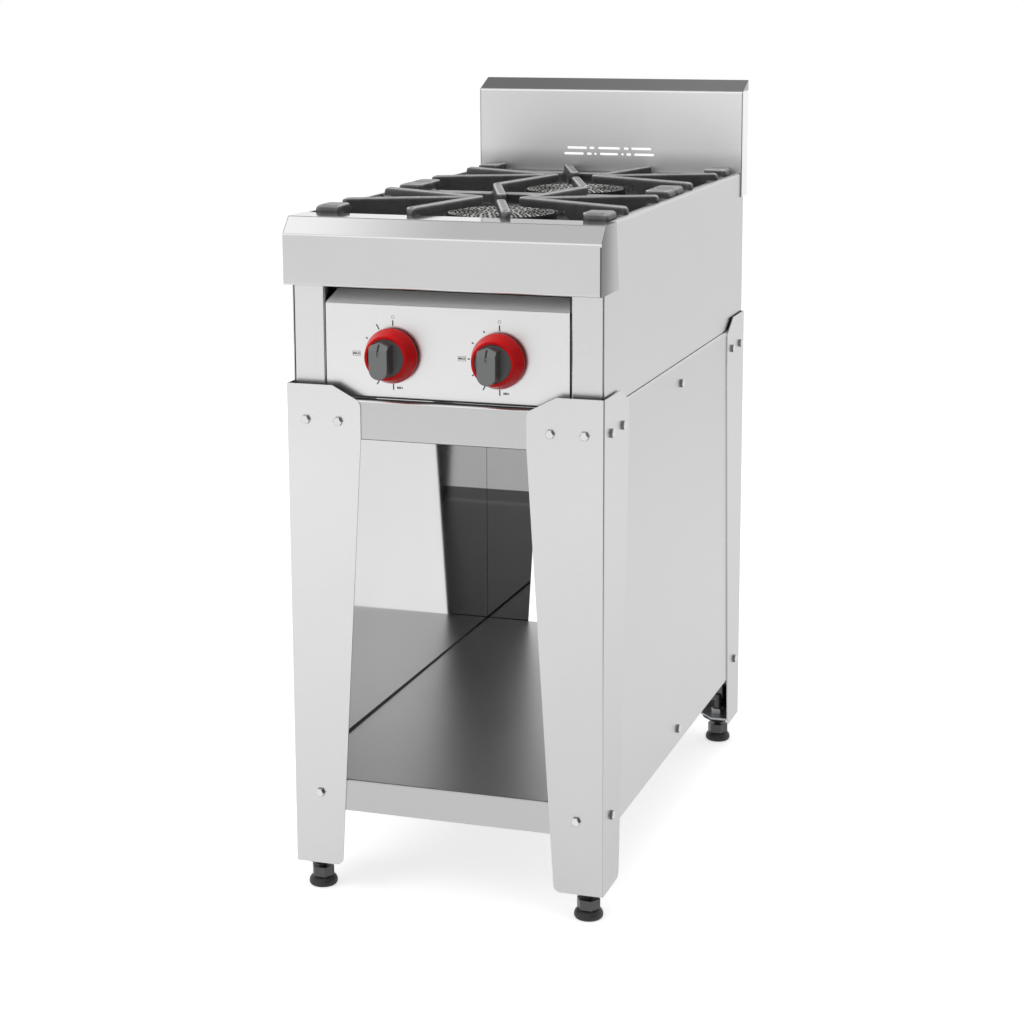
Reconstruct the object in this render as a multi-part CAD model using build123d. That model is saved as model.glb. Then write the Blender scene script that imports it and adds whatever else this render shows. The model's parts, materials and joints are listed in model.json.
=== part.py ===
from build123d import *
import math
import os

# A gas cooktop with two burners on an open stand of bent stainless sheet.
# Millimetres, +X to the right, +Y to the back, +Z up. The origin is the middle of the floor
# area that the whole object covers, so the stand is a little behind it and the knobs before it.

# Stand: overall sizes
width = 400.0
stand_depth = 741.0
foot_height = 38.0
leg_height = 610.0
frame_drop = 16.0

# Legs: flange widths are from the outer corner, at the foot, below the shoulder and at the top,
# and drops are from the leg's top
leg_sheet = 1.5
leg_bend = 1.0
front_flange_foot = 62.0
front_flange_wide = 95.5
front_flange_top = 59.0
side_flange_foot = 70.0
side_flange_wide = 107.0
side_flange_top = 72.0
taper_drop = 62.0
shoulder_drop = 19.0
shoulder_round = 10.0
foot_corner_round = 9.0

# Sheet of the stand and of the body
panel_sheet = 1.2
bend_inside = 1.8
apron_sheet = 1.5
apron_bend = 1.0

# Stand panels, beams, rails and shelf
panel_below_shelf = 3.0
panel_flange = 16.0
beam_depth = 48.5
beam_drop = 0.5
beam_flange = 15.0
beam_end_gap = 0.7
rail_depth = 46.0
rail_flange = 15.0
rail_setback = 18.0
shelf_height = 113.0
shelf_depth = 40.0

# Bolts of the stand: places are measured from a leg's outer corner and from its top
bolt_radius = 3.0
bolt_hole_radius = 3.3
bolt_shank = 14.0
bolt_head_flats = 10.0
bolt_head_height = 4.0
bolt_head_dome = 1.2
nut_flats = 10.0
nut_height = 5.0
thread_gap = 0.05
upper_bolt_drop = 43.5
front_bolt_outer = 24.5
front_bolt_inner = 66.5
side_bolt_outer = 28.0
side_bolt_inner = 78.0
front_lower_bolt = 34.0
side_lower_bolt = 35.0
body_bolt_inset = 120.0
body_bolt_edge = 9.5
drill_overcut = 0.4

# Feet
foot_plate_size = 50.0
foot_plate_sheet = 3.0
foot_plate_chamfer = 20.0
foot_plate_round = 1.5
foot_inset = 25.0
weld_nut_flats = 17.0
weld_nut_height = 8.0
foot_cap_radius = 23.0
foot_cap_height = 8.0
foot_cap_tip_radius = 13.0
foot_cap_edge = 1.5
foot_cap_edge_round = 2.0
foot_cap_tip_round = 3.0
spindle_radius = 5.0
spindle_gap = 0.05
spindle_reach = 32.0
spindle_hex_flats = 25.5
spindle_hex_height = 12.5
spindle_pin_radius = 6.0
spindle_pin_depth = 8.0
foot_pad_radius = 18.0
foot_pad_height = 13.0
foot_pad_round = 3.0

# Cooker body
body_side_gap = 4.0
body_setback = 15.0
body_height = 217.5
body_flange = 18.0
rim_flange = 7.0
rear_flange = 15.0
rear_gap = 0.5
post_width = 41.5
post_return = 15.0
post_outer_return = 25.0
post_top_drop = 17.5
post_tab_width = 15.0
post_tab_margin = 10.0
screw_head_radius = 4.0
screw_head_height = 2.4
screw_head_round = 1.4
screw_radius = 2.0
screw_hole_radius = 2.2
screw_length = 8.0
screw_recess_width = 1.0
screw_recess_length = 4.8
screw_recess_depth = 1.0

# Control panel
control_gap = 1.5
control_reveal = 22.5
control_lip_run = 25.0
control_lip_rise = 14.5
control_lip_mitre = 7.0
knob_inset = 86.0
knob_rise = 54.0
knob_hole_radius = 6.5

# Apron
apron_front = 8.0
apron_height = 61.0
apron_bevel_drop = 20.0
apron_bevel_run = 19.0
apron_back = 55.0
apron_return_bottom = 68.0
apron_return_top = 56.0
apron_lip = 16.0

# Well with the ledge that carries the grates
well_floor_drop = 37.5
ledge_drop = 17.5
ledge_width = 13.5
well_side_land = 1.0
well_rear_land = 8.0
well_corner = 6.0
well_floor_corner = 22.0
deck_side_gap = 0.2
collar_radius = 48.0
collar_height = 6.0

# Grates
grate_gap = 3.0
grate_top_rise = 8.5
grate_bar = 12.0
grate_frame_height = 14.0
grate_corner = 7.0
grate_edge_round = 7.0
finger_round = 2.2
pad_width = 34.0
pad_length = 38.0
apex_reach = 30.0
free_tip_x = 13.0
free_tip_y = 40.0
front_leg_y = 70.0
rear_leg_y = 76.0
arm_foot_x = 62.0
free_foot_x = 57.0
arch_outer = 112.0
arch_inner = 100.0

# Backsplash: rises are above the rim of the body
splash_setback = 21.0
splash_overhang = 16.0
splash_skirt = 34.5
splash_rise = 115.0
splash_slope_rise = 15.5
splash_tongue = 20.0
splash_cover_drop = 2.5
slot_height = 3.4
upper_slot_rise = 31.5
lower_slot_rise = 23.0
upper_middle_slot = 33.0
lower_middle_slot = 27.6
upper_slots = ((26.0, 7.5), (48.5, 30.0))
lower_slots = ((20.5, 3.6), (29.8, 7.4), (53.0, 30.0))
vent_window_width = 176.0
vent_window_height = 26.0
vent_window_rise = 20.5
vent_window_corner = 6.0

# Burners: lengths run from the burner's centre to the front
cup_radius = 44.0
cup_wall = 4.0
cup_drop = 23.5
cup_height = 54.0
mixing_rise = 18.0
mixing_radius = 14.0
mixing_bore = 10.0
bell_radius = 18.0
bell_wall = 2.0
bell_length = 14.0
yoke_length = 18.0
yoke_plate = 4.0
yoke_arm_width = 8.0
injector_radius = 5.0
injector_flats = 14.0
injector_hex = 8.0
injector_nose = 8.0
injector_bore = 0.9
head_radius = 70.0
head_height = 12.0
head_wall = 3.0
head_rim = 4.0
head_round = 2.0
spigot_gap = 0.5
spigot_wall = 3.5
spigot_depth = 5.0
port_radius = 1.6
port_ring_radius = 61.0
port_ring_step = 11.0
port_pitch = 12.8
port_ring_count = 5
bridge_width = 40.0
bridge_drop = 20.0

# Gas train: distances are behind the control panel's front face, insets are from the posts
pipe_radius = 4.0
pipe_bore = 3.0
pipe_gap = 0.05
pipe_bend = 12.0
pipe_inset = 25.0
pipe_run = 25.5
pipe_approach = 16.0
manifold_radius = 10.0
manifold_bore = 8.0
manifold_behind = 45.0
manifold_below = 30.0
manifold_left_inset = 45.0
manifold_side_inset = 40.0
manifold_cap_radius = 12.0
manifold_cap_length = 6.0
manifold_bend = 28.0
saddle_width = 20.0
saddle_thickness = 8.0
saddle_spacing = 60.0
inlet_thread_radius = 10.48
inlet_thread_length = 13.0
inlet_flange_radius = 16.0
inlet_flange_height = 3.0
inlet_collar_radius = 14.0
inlet_collar_length = 16.0
inlet_socket = 10.0
inlet_bore = 7.0
inlet_hole_gap = 0.3

# Valve, along its axis: distances are behind the control panel's front face
bonnet_front = 10.0
bonnet_thickness = 3.0
valve_radius = 13.0
valve_length = 39.0
chamber_radius = 8.0
chamber_depth = 20.0
plug_depth = 14.0
passage_radius = 2.5
valve_boss_radius = 8.0
outlet_length = 14.0
outlet_socket = 8.0
stem_radius = 4.0
stem_gap = 0.05
stem_tail = 41.0
stem_front = 27.0
stem_flat_depth = 1.2
stem_flat_length = 18.0
stem_shoulder_radius = 6.0
stem_shoulder_length = 1.5
shoulder_gap = 0.3
collar_thickness = 2.0
spring_radius = 5.5
spring_wire = 0.45
spring_turns = 4

# Knobs: heights are in front of the control panel's front face
push_travel = 4.0
skirt_radius = 33.2
skirt_back = 5.5
skirt_edge = 2.5
skirt_front = 27.0
skirt_front_radius = 26.5
skirt_opening = 23.0
skirt_wall = 2.4
skirt_back_round = 0.6
skirt_edge_round = 1.0
skirt_front_round = 1.2
skirt_opening_round = 0.4
disc_radius = 22.6
disc_front = 25.5
disc_flange_radius = 25.0
disc_flange = 2.2
hub_radius = 8.0
hub_back = 6.0
grip_width = 23.5
grip_length = 44.0
grip_point = 4.0
grip_point_round = 6.0
grip_shoulder_round = 2.0
grip_end_round = 11.3
knob_reach = 51.0
grip_slope_drop = 7.0
grip_slope_length = 9.0
grip_round = 1.4
grip_back_blend = 1.0
notch_width = 2.4
notch_length = 7.0
notch_depth = 1.0

# How far a cutter runs past what it cuts, and the least step between two faces
overcut = 1.0
hair = 0.01

# Places that follow from the sizes above
half_width = width / 2
half_body = half_width - body_side_gap
knob_overhang = knob_reach - body_setback
overall_depth = knob_overhang + stand_depth + splash_overhang
leg_front = knob_overhang - overall_depth / 2
leg_rear = leg_front + stand_depth
leg_bottom = foot_height
leg_top = leg_bottom + leg_height
frame_top = leg_top - frame_drop
rim_z = frame_top + body_height
panel_outer = half_width - leg_sheet
panel_inner = panel_outer - panel_sheet
sheet_front = leg_front + leg_sheet
sheet_rear = leg_rear - leg_sheet
panel_front = sheet_front + leg_bend
panel_rear = sheet_rear - leg_bend
beam_top = frame_top - beam_drop
beam_end = panel_outer - panel_flange - beam_end_gap
rail_top = frame_top - panel_sheet
shelf_z = leg_bottom + shelf_height
shelf_bottom = shelf_z - shelf_depth
panel_bottom = shelf_bottom - panel_below_shelf
body_front = leg_front + body_setback
body_rear = sheet_rear - rear_gap
body_inner = half_body - panel_sheet
shield_bottom = frame_top + panel_sheet
shield_top = shield_bottom + panel_sheet
post_bottom = shield_bottom + bend_inside
post_inner = half_body - post_width
control_half = post_inner - control_gap
knob_spacing = 2 * (control_half - knob_inset)
knob_z = frame_top + knob_rise
splash_y = leg_rear - splash_setback
splash_back = leg_rear + splash_overhang
splash_half = half_body + apron_sheet
splash_bottom = rim_z - splash_skirt
splash_fold = rim_z + splash_rise
splash_top = splash_fold + splash_slope_rise
apron_y = leg_front - apron_front
apron_back_y = leg_front + apron_back
apron_fold_z = rim_z - apron_bevel_drop
apron_bottom_z = apron_fold_z - apron_height
control_top = apron_bottom_z - control_reveal
deck_top = rim_z - panel_sheet
ledge_z = rim_z - ledge_drop
well_floor = rim_z - well_floor_drop
grate_top = rim_z + grate_top_rise
well_half = half_body - rim_flange - well_side_land
well_front = apron_back_y + rim_flange
well_rear = splash_y - well_rear_land
grate_width = 2 * well_half - grate_gap
grate_length = (well_rear - well_front) / 2 - grate_gap
grate_front_y = well_front + (grate_gap + grate_length) / 2
grate_rear_y = grate_front_y + grate_length + grate_gap
burner_rows = {"front": grate_front_y, "rear": grate_rear_y}
cup_top = rim_z - cup_drop
cup_bottom = cup_top - cup_height
mixing_z = cup_bottom + mixing_rise
manifold_y = body_front + manifold_behind
manifold_z = knob_z - manifold_below
manifold_left = post_inner - manifold_left_inset
manifold_side = post_inner - manifold_side_inset
pipe_side = post_inner - pipe_inset
valve_end = bonnet_front + bonnet_thickness + valve_length + outlet_length
pipe_start_y = body_front + valve_end - outlet_socket
riser_y = pipe_start_y + pipe_run
injector_back = grate_front_y - riser_y - pipe_approach
mixing_length = injector_back - yoke_length - yoke_plate - injector_hex
collar_travel_end = 2 * shoulder_gap + stem_shoulder_length + collar_thickness + push_travel
spring_pressed = chamber_depth - collar_travel_end
spring_pitch = (spring_pressed - 2 * (spring_wire + stem_gap)) / spring_turns

stand_middle = Plane(origin=(0, (leg_front + leg_rear) / 2, 0), x_dir=(1, 0, 0), z_dir=(0, 1, 0))
sketch_planes = {
    "x": Plane(origin=(0, 0, 0), x_dir=(0, 1, 0), z_dir=(1, 0, 0)),
    "y": Plane(origin=(0, 0, 0), x_dir=(1, 0, 0), z_dir=(0, -1, 0)),
    "z": Plane.XY,
}
axis_vectors = {"x": Vector(1, 0, 0), "y": Vector(0, 1, 0), "z": Vector(0, 0, 1)}
headings = {
    "front": Rot(90, 0, 0),
    "rear": Rot(-90, 0, 0),
    "right": Rot(0, 90, 0),
    "left": Rot(0, -90, 0),
    "up": Rot(0, 0, 0),
}


def box(x, y, z):
    """Box from its low and high limit on each axis."""
    centre = [(low + high) / 2 for low, high in (x, y, z)]
    size = [high - low for low, high in (x, y, z)]
    return Pos(*centre) * Box(*size)


def extruded(outline, axis, start, end):
    """Solid of a closed flat outline, pushed along an axis from start to end."""
    vector = axis_vectors[axis]
    face = sketch_planes[axis] * make_face(outline)
    return Pos(*(vector * start)) * extrude(face, amount=end - start, dir=tuple(vector))


def rod(radius, axis, centre, start, end):
    """Cylinder along an axis; centre holds the two other coordinates in x, y, z order."""
    middle = (start + end) / 2
    if axis == "x":
        return Pos(middle, *centre) * Rot(0, 90, 0) * Cylinder(radius, end - start)
    if axis == "y":
        return Pos(centre[0], middle, centre[1]) * Rot(90, 0, 0) * Cylinder(radius, end - start)
    return Pos(*centre, middle) * Cylinder(radius, end - start)


def sheet_outline(points, sheet, inside):
    """Outline of a bent sheet that lies on the left of a line of points, with rounded bends."""
    steps = [(Vector(*b) - Vector(*a)).normalized() for a, b in zip(points, points[1:])]
    normals = [Vector(-step.Y, step.X) for step in steps]
    far = [Vector(*points[0]) + normals[0] * sheet]
    near_radii = [0.0]
    far_radii = [0.0]
    for index in range(1, len(points) - 1):
        before = normals[index - 1]
        after = normals[index]
        mitre = (before + after) * (sheet / (1 + before.dot(after)))
        far.append(Vector(*points[index]) + mitre)
        turns_left = steps[index - 1].cross(steps[index]).Z > 0
        near_radii.append(inside + sheet if turns_left else inside)
        far_radii.append(inside if turns_left else inside + sheet)
    far.append(Vector(*points[-1]) + normals[-1] * sheet)
    near_radii.append(0.0)
    far_radii.append(0.0)
    near = [Vector(*point) for point in points]
    return FilletPolyline(*near, *far[::-1], radius=near_radii + far_radii[::-1], close=True)


def both_sides(right):
    """The piece and its mirror image, as left and right."""
    return {"left": mirror(right, about=Plane.YZ), "right": right}


def hexagon(flats, height):
    """Hexagonal prism on the XY plane."""
    return extrude(RegularPolygon(flats / 2, 6, major_radius=False), amount=height)


def pipe(points, outer, bore, bend):
    """Tube along straight runs joined by tangent arcs."""
    path = FilletPolyline(*points, radius=bend)
    start = Plane(origin=path @ 0, z_dir=path % 0)
    return sweep(start * (Circle(outer) - Circle(bore)), path=path)


def frame_bolts():
    """Head seat, heading and clamped thickness of each bolt of the stand."""
    upper = leg_top - upper_bolt_drop
    lower = shelf_z - shelf_depth / 2
    through_beam = leg_sheet + panel_sheet
    through_rail = leg_sheet + 2 * panel_sheet
    places = []
    for name, y in (("front", leg_front), ("rear", leg_rear)):
        inward = 1 if name == "front" else -1
        for side in (-1, 1):
            for offset in (front_bolt_outer, front_bolt_inner):
                places.append(((side * (half_width - offset), y, upper), name, through_beam))
            places.append(((side * (half_width - front_lower_bolt), y, lower), name, through_beam))
            heading = "left" if side < 0 else "right"
            for offset in (side_bolt_outer, side_bolt_inner):
                seat = (side * half_width, y + inward * offset, upper)
                places.append((seat, heading, through_rail))
            seat = (side * half_width, y + inward * side_lower_bolt, lower)
            places.append((seat, heading, through_rail))
    for side, heading in ((-1, "left"), (1, "right")):
        for z in (upper, lower):
            seat = (side * panel_outer, stand_middle.origin.Y, z)
            places.append((seat, heading, 2 * panel_sheet))
        for y in (leg_front + body_bolt_inset, leg_rear - body_bolt_inset):
            seat = (side * (panel_outer - body_bolt_edge), y, shield_top)
            places.append((seat, "up", 4 * panel_sheet))
    return places


def drilled(part, places, radius):
    """The part with the clearance holes of the fasteners that pass through it."""
    tools = []
    for seat, heading, grip in places:
        hole = Pos(0, 0, -grip / 2) * Cylinder(radius, grip + 2 * drill_overcut)
        tools.append(Pos(*seat) * headings[heading] * hole)
    return part - tools


def make_leg():
    """Front left leg: an L of sheet, its flanges cut to their outlines."""
    corner_x = -half_width
    reach = max(front_flange_wide, side_flange_wide) + leg_sheet
    section = [(corner_x, leg_front + reach), (corner_x, leg_front), (corner_x + reach, leg_front)]
    angle = extruded(sheet_outline(section, leg_sheet, leg_bend), "z", leg_bottom, leg_top)

    def flange(foot, wide, top):
        upper = (leg_top, leg_top, leg_top - shoulder_drop, leg_top - taper_drop)
        heights = [leg_bottom, *upper, leg_bottom]
        reaches = [0, 0, top, wide, wide, foot]
        points = list(zip(reaches, heights))
        return points, [0, 0, 0, shoulder_round, 0, foot_corner_round]

    points, radii = flange(front_flange_foot, front_flange_wide, front_flange_top)
    front = FilletPolyline(*[(corner_x + u, z) for u, z in points], radius=radii, close=True)
    points, radii = flange(side_flange_foot, side_flange_wide, side_flange_top)
    side = FilletPolyline(*[(leg_front + u, z) for u, z in points], radius=radii, close=True)
    front_shape = extruded(front, "y", leg_front - overcut, leg_front + reach + overcut)
    side_shape = extruded(side, "x", corner_x - overcut, corner_x + reach + overcut)
    return angle & front_shape & side_shape


def make_foot_plate():
    """Plate in the corner of the front left leg, with the weld nut on top."""
    inner_x = leg_sheet - half_width
    inner_y = leg_front + leg_sheet
    edge = foot_plate_size - leg_sheet
    z = (leg_bottom, leg_bottom + foot_plate_sheet)
    plate = box((inner_x, inner_x + edge), (inner_y, inner_y + edge), z)
    corner = plate.edges().filter_by(Axis.Z).sort_by(lambda e: e.center().X + e.center().Y)
    plate = chamfer(corner[-1], foot_plate_chamfer)
    corner = plate.edges().filter_by(Axis.Z).sort_by(lambda e: e.center().X + e.center().Y)
    plate = fillet(corner[0], foot_plate_round)
    centre = (foot_inset - half_width, leg_front + foot_inset)
    nut = Pos(*centre, z[1]) * hexagon(weld_nut_flats, weld_nut_height)
    top = z[1] + weld_nut_height + overcut
    bore = rod(spindle_radius + spindle_gap, "z", centre, leg_bottom - overcut, top)
    return plate + nut - bore


def make_foot_cap():
    """Dome cap under the front left foot plate, with the hole for the spindle."""
    profile = [
        (spindle_radius + shoulder_gap, 0),
        (foot_cap_radius, 0),
        (foot_cap_radius, -foot_cap_edge),
        (foot_cap_tip_radius, -foot_cap_height),
        (spindle_radius + shoulder_gap, -foot_cap_height),
    ]
    radii = [0, 0, foot_cap_edge_round, foot_cap_tip_round, 0]
    outline = FilletPolyline(*profile, radius=radii, close=True)
    dome = revolve(Plane.XZ * make_face(outline), Axis.Z)
    return Pos(foot_inset - half_width, leg_front + foot_inset, leg_bottom) * dome


def make_foot_pad():
    """Round base under the front left spindle, with the socket for its pin."""
    pad = Pos(0, 0, foot_pad_height / 2) * Cylinder(foot_pad_radius, foot_pad_height)
    pad = fillet(pad.edges().filter_by(GeomType.CIRCLE), foot_pad_round)
    socket_top = foot_pad_height + overcut
    socket_bottom = foot_pad_height - spindle_pin_depth
    socket = rod(spindle_pin_radius + spindle_gap, "z", (0, 0), socket_bottom, socket_top)
    return Pos(foot_inset - half_width, leg_front + foot_inset, 0) * (pad - socket)


def make_foot_spindle():
    """Threaded stem with its hexagon neck and the pin that turns in the pad."""
    hex_top = foot_pad_height + spindle_hex_height
    neck = Pos(0, 0, foot_pad_height) * hexagon(spindle_hex_flats, spindle_hex_height)
    stem = rod(spindle_radius, "z", (0, 0), hex_top, leg_bottom + spindle_reach)
    pin_bottom = foot_pad_height - spindle_pin_depth + shoulder_gap
    pin = rod(spindle_pin_radius, "z", (0, 0), pin_bottom, foot_pad_height)
    return Pos(foot_inset - half_width, leg_front + foot_inset, 0) * (neck + stem + pin)


def corner_places(front_left):
    """A front left piece and its mirror images at the three other legs."""
    rear_left = mirror(front_left, about=stand_middle)
    return {
        "front_left": front_left,
        "front_right": mirror(front_left, about=Plane.YZ),
        "rear_left": rear_left,
        "rear_right": mirror(rear_left, about=Plane.YZ),
    }


def make_lower_panel():
    """Right lower side panel, bent inward at the top and the bottom."""
    inner = panel_outer - panel_flange
    section = [
        (inner, panel_bottom),
        (panel_outer, panel_bottom),
        (panel_outer, frame_top),
        (inner, frame_top),
    ]
    outline = sheet_outline(section, panel_sheet, bend_inside)
    return extruded(outline, "y", panel_front, panel_rear)


def make_beam():
    """Front beam, a channel behind the front flanges of the legs."""
    back = sheet_front + beam_flange
    bottom = beam_top - beam_depth
    section = [(back, beam_top), (sheet_front, beam_top), (sheet_front, bottom), (back, bottom)]
    return extruded(sheet_outline(section, panel_sheet, bend_inside), "x", -beam_end, beam_end)


def make_rail():
    """Right side rail, a channel against the lower side panel."""
    inner = panel_inner - rail_flange
    bottom = rail_top - rail_depth
    section = [(inner, bottom), (panel_inner, bottom), (panel_inner, rail_top), (inner, rail_top)]
    outline = sheet_outline(section, panel_sheet, bend_inside)
    return extruded(outline, "y", leg_front + rail_setback, leg_rear - rail_setback)


def make_shelf():
    """Shelf, a tray turned upside down between the side panels."""
    outer = box((-panel_inner, panel_inner), (sheet_front, sheet_rear), (shelf_bottom, shelf_z))
    outer = fillet(outer.edges().group_by(Axis.Z)[-1], bend_inside + panel_sheet)
    inner_half = panel_inner - panel_sheet
    y = (sheet_front + panel_sheet, sheet_rear - panel_sheet)
    inner = box((-inner_half, inner_half), y, (shelf_bottom - overcut, shelf_z - panel_sheet))
    inner = fillet(inner.edges().group_by(Axis.Z)[-1], bend_inside)
    return outer - inner


def make_bolt():
    """Hexagon bolt with its seat at z = 0 and its head upward."""
    head = hexagon(bolt_head_flats, bolt_head_height)
    dome_radius = bolt_head_flats / 2 + bolt_head_dome
    dome = Cone(dome_radius + bolt_head_height, dome_radius - bolt_head_dome, bolt_head_height)
    head = head & (Pos(0, 0, bolt_head_height / 2) * dome)
    return head + rod(bolt_radius, "z", (0, 0), -bolt_shank, 0)


def make_nut():
    """Hexagon nut with its seat at z = 0, below the clamped sheets."""
    nut = Pos(0, 0, -nut_height) * hexagon(nut_flats, nut_height)
    return nut - rod(bolt_radius + thread_gap, "z", (0, 0), -nut_height - overcut, overcut)


def make_fasteners():
    """Bolts and nuts of the stand, each kind as one group."""
    bolt = make_bolt()
    nut = make_nut()
    bolts = []
    nuts = []
    for seat, heading, grip in frame_bolts():
        place = Pos(*seat) * headings[heading]
        bolts.append(place * bolt)
        nuts.append(place * Pos(0, 0, -grip) * nut)
    return Compound(children=bolts), Compound(children=nuts)


def make_body_side():
    """Right side panel of the body, with its bottom, top and rear flanges."""
    foot = half_body - body_flange
    rim = half_body - rim_flange
    section = [(foot, frame_top), (half_body, frame_top), (half_body, rim_z), (rim, rim_z)]
    end = body_rear - panel_sheet
    side = extruded(sheet_outline(section, panel_sheet, bend_inside), "y", body_front, end)
    z = (frame_top + body_flange, deck_top - body_flange)
    side += box((half_body - rear_flange, body_inner + bend_inside / 2), (end - panel_sheet, end), z)
    under_apron = (rim_z - panel_sheet - bend_inside, rim_z + overcut)
    notch_y = (body_front - overcut, apron_back_y)
    return side - box((rim - overcut, half_body + overcut), notch_y, under_apron)


def make_post():
    """Right front post, a channel inside the side panel and beside the control panel."""
    section = [
        (post_inner, body_front + post_return),
        (post_inner, body_front),
        (body_inner, body_front),
        (body_inner, body_front + post_outer_return),
    ]
    top = rim_z - post_top_drop
    post = extruded(sheet_outline(section, panel_sheet, bend_inside), "z", post_bottom, top)
    tab_y = body_front + post_return
    tab_z = (shield_top + post_tab_margin, control_top - post_tab_margin)
    tab_x = (post_inner - post_tab_width, post_inner + panel_sheet)
    return post + box(tab_x, (tab_y, tab_y + panel_sheet), tab_z)


def make_rear_panel():
    """Rear panel behind the ends of the side panels, with the hole for the gas inlet."""
    y = (body_rear - panel_sheet, body_rear)
    panel = box((-half_body, half_body), y, (frame_top, rim_z))
    hole = inlet_thread_radius + inlet_hole_gap
    return panel - rod(hole, "y", (manifold_side, manifold_z), y[0] - overcut, y[1] + overcut)


def rear_screws():
    """Head seat, heading and clamped thickness of the screws of the rear panel."""
    x = half_body - (rear_flange + panel_sheet) / 2
    low = frame_top + 2 * body_flange
    high = splash_bottom - body_flange
    heights = (low, (low + high) / 2, high)
    return [((side * x, body_rear, z), "rear", 2 * panel_sheet) for side in (-1, 1) for z in heights]


def make_screws():
    """Pan head screws of the rear panel, as one group."""
    head = rod(screw_head_radius, "z", (0, 0), 0, screw_head_height)
    head = fillet(head.edges().group_by(Axis.Z)[-1], screw_head_round)
    screw = head + rod(screw_radius, "z", (0, 0), -screw_length, 0)
    narrow = (-screw_recess_width / 2, screw_recess_width / 2)
    long = (-screw_recess_length / 2, screw_recess_length / 2)
    deep = (screw_head_height - screw_recess_depth, screw_head_height + overcut)
    screw -= box(narrow, long, deep) + box(long, narrow, deep)
    return Compound(children=[Pos(*seat) * headings[way] * screw for seat, way, _ in rear_screws()])


def make_shield():
    """Bottom shield on the flanges of the body."""
    half = body_inner - bend_inside
    y = (body_front + panel_sheet + bend_inside, body_rear - panel_sheet)
    return box((-half, half), y, (shield_bottom, shield_top))


def make_control_panel():
    """Control panel with its sloped lip, bottom flange and side returns."""
    back = body_front + post_return
    section = [
        (body_front + control_lip_run, control_top + control_lip_rise),
        (body_front, control_top),
        (body_front, frame_top),
        (back, frame_top),
    ]
    outline = sheet_outline(section, panel_sheet, bend_inside)
    panel = extruded(outline, "x", -control_half, control_half)
    for side in (-1, 1):
        edges = sorted((side * control_half, side * (control_half - panel_sheet)))
        side_z = (shield_top, control_top - bend_inside)
        panel += box(edges, (body_front + panel_sheet / 2, back), side_z)
        far = body_front + control_lip_run
        mitre = [
            (side * (control_half + overcut), body_front + bend_inside),
            (side * control_half, body_front + bend_inside),
            (side * (control_half - control_lip_mitre), far + overcut),
            (side * (control_half + overcut), far + overcut),
        ]
        lip_top = control_top + control_lip_rise + overcut
        panel -= extruded(Polyline(*mitre, close=True), "z", control_top, lip_top)
        centre = (side * knob_spacing / 2, knob_z)
        panel -= rod(knob_hole_radius, "y", centre, body_front - overcut, back)
    return panel


def make_apron():
    """Front apron with its flat top, bevel, bottom lip and side returns."""
    ridge_y = apron_y + apron_bevel_run
    section = [
        (apron_back_y, rim_z),
        (ridge_y, rim_z),
        (apron_y, apron_fold_z),
        (apron_y, apron_bottom_z),
        (apron_y + apron_lip, apron_bottom_z),
    ]
    outline = sheet_outline(section, apron_sheet, apron_bend)
    apron = extruded(outline, "x", -splash_half, splash_half)
    behind = (apron_back_y, apron_back_y + 2 * apron_sheet)
    apron -= box((-width, width), behind, (rim_z - 2 * apron_sheet, rim_z + apron_sheet))
    side = [
        (apron_y, apron_bottom_z),
        (leg_front + apron_return_bottom, apron_bottom_z),
        (leg_front + apron_return_top, rim_z),
        (ridge_y, rim_z),
        (apron_y, apron_fold_z),
    ]
    fold = apron_bend + apron_sheet
    radii = [fold, 0, 0, fold, fold]
    plate = FilletPolyline(*side, radius=radii, close=True)
    for start in (-splash_half, splash_half - apron_sheet):
        apron += extruded(plate, "x", start, start + apron_sheet)
    return apron


def make_deck():
    """Pressed well: rim flange, ledge for the grates, floor and the collars round the burners."""
    wall = panel_sheet
    middle = (well_front + well_rear) / 2
    length = well_rear - well_front
    half = body_inner - bend_inside - deck_side_gap
    splash_edge = splash_y - panel_sheet
    flange = box((-half, half), (apron_back_y, splash_edge), (deck_top - wall, deck_top))

    def tub(half_x, long, corner, low, grow):
        size = (2 * (half_x + grow), long + 2 * grow)
        outline = RectangleRounded(*size, corner + grow)
        return Pos(0, middle, low) * extrude(outline, amount=deck_top - low)

    lower_half = well_half - ledge_width
    lower_length = length - 2 * ledge_width
    deck = flange + tub(well_half, length, well_corner, ledge_z - wall, wall)
    deck += tub(lower_half, lower_length, well_floor_corner, well_floor - wall, wall)
    deck -= tub(well_half, length, well_corner, ledge_z, 0)
    deck -= tub(lower_half, lower_length, well_floor_corner, well_floor, 0)
    for y in burner_rows.values():
        deck += rod(collar_radius + wall, "z", (0, y), well_floor, well_floor + collar_height)
        hole_z = (well_floor - 2 * wall, well_floor + collar_height + overcut)
        deck -= rod(collar_radius, "z", (0, y), *hole_z)
    return deck


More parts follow.
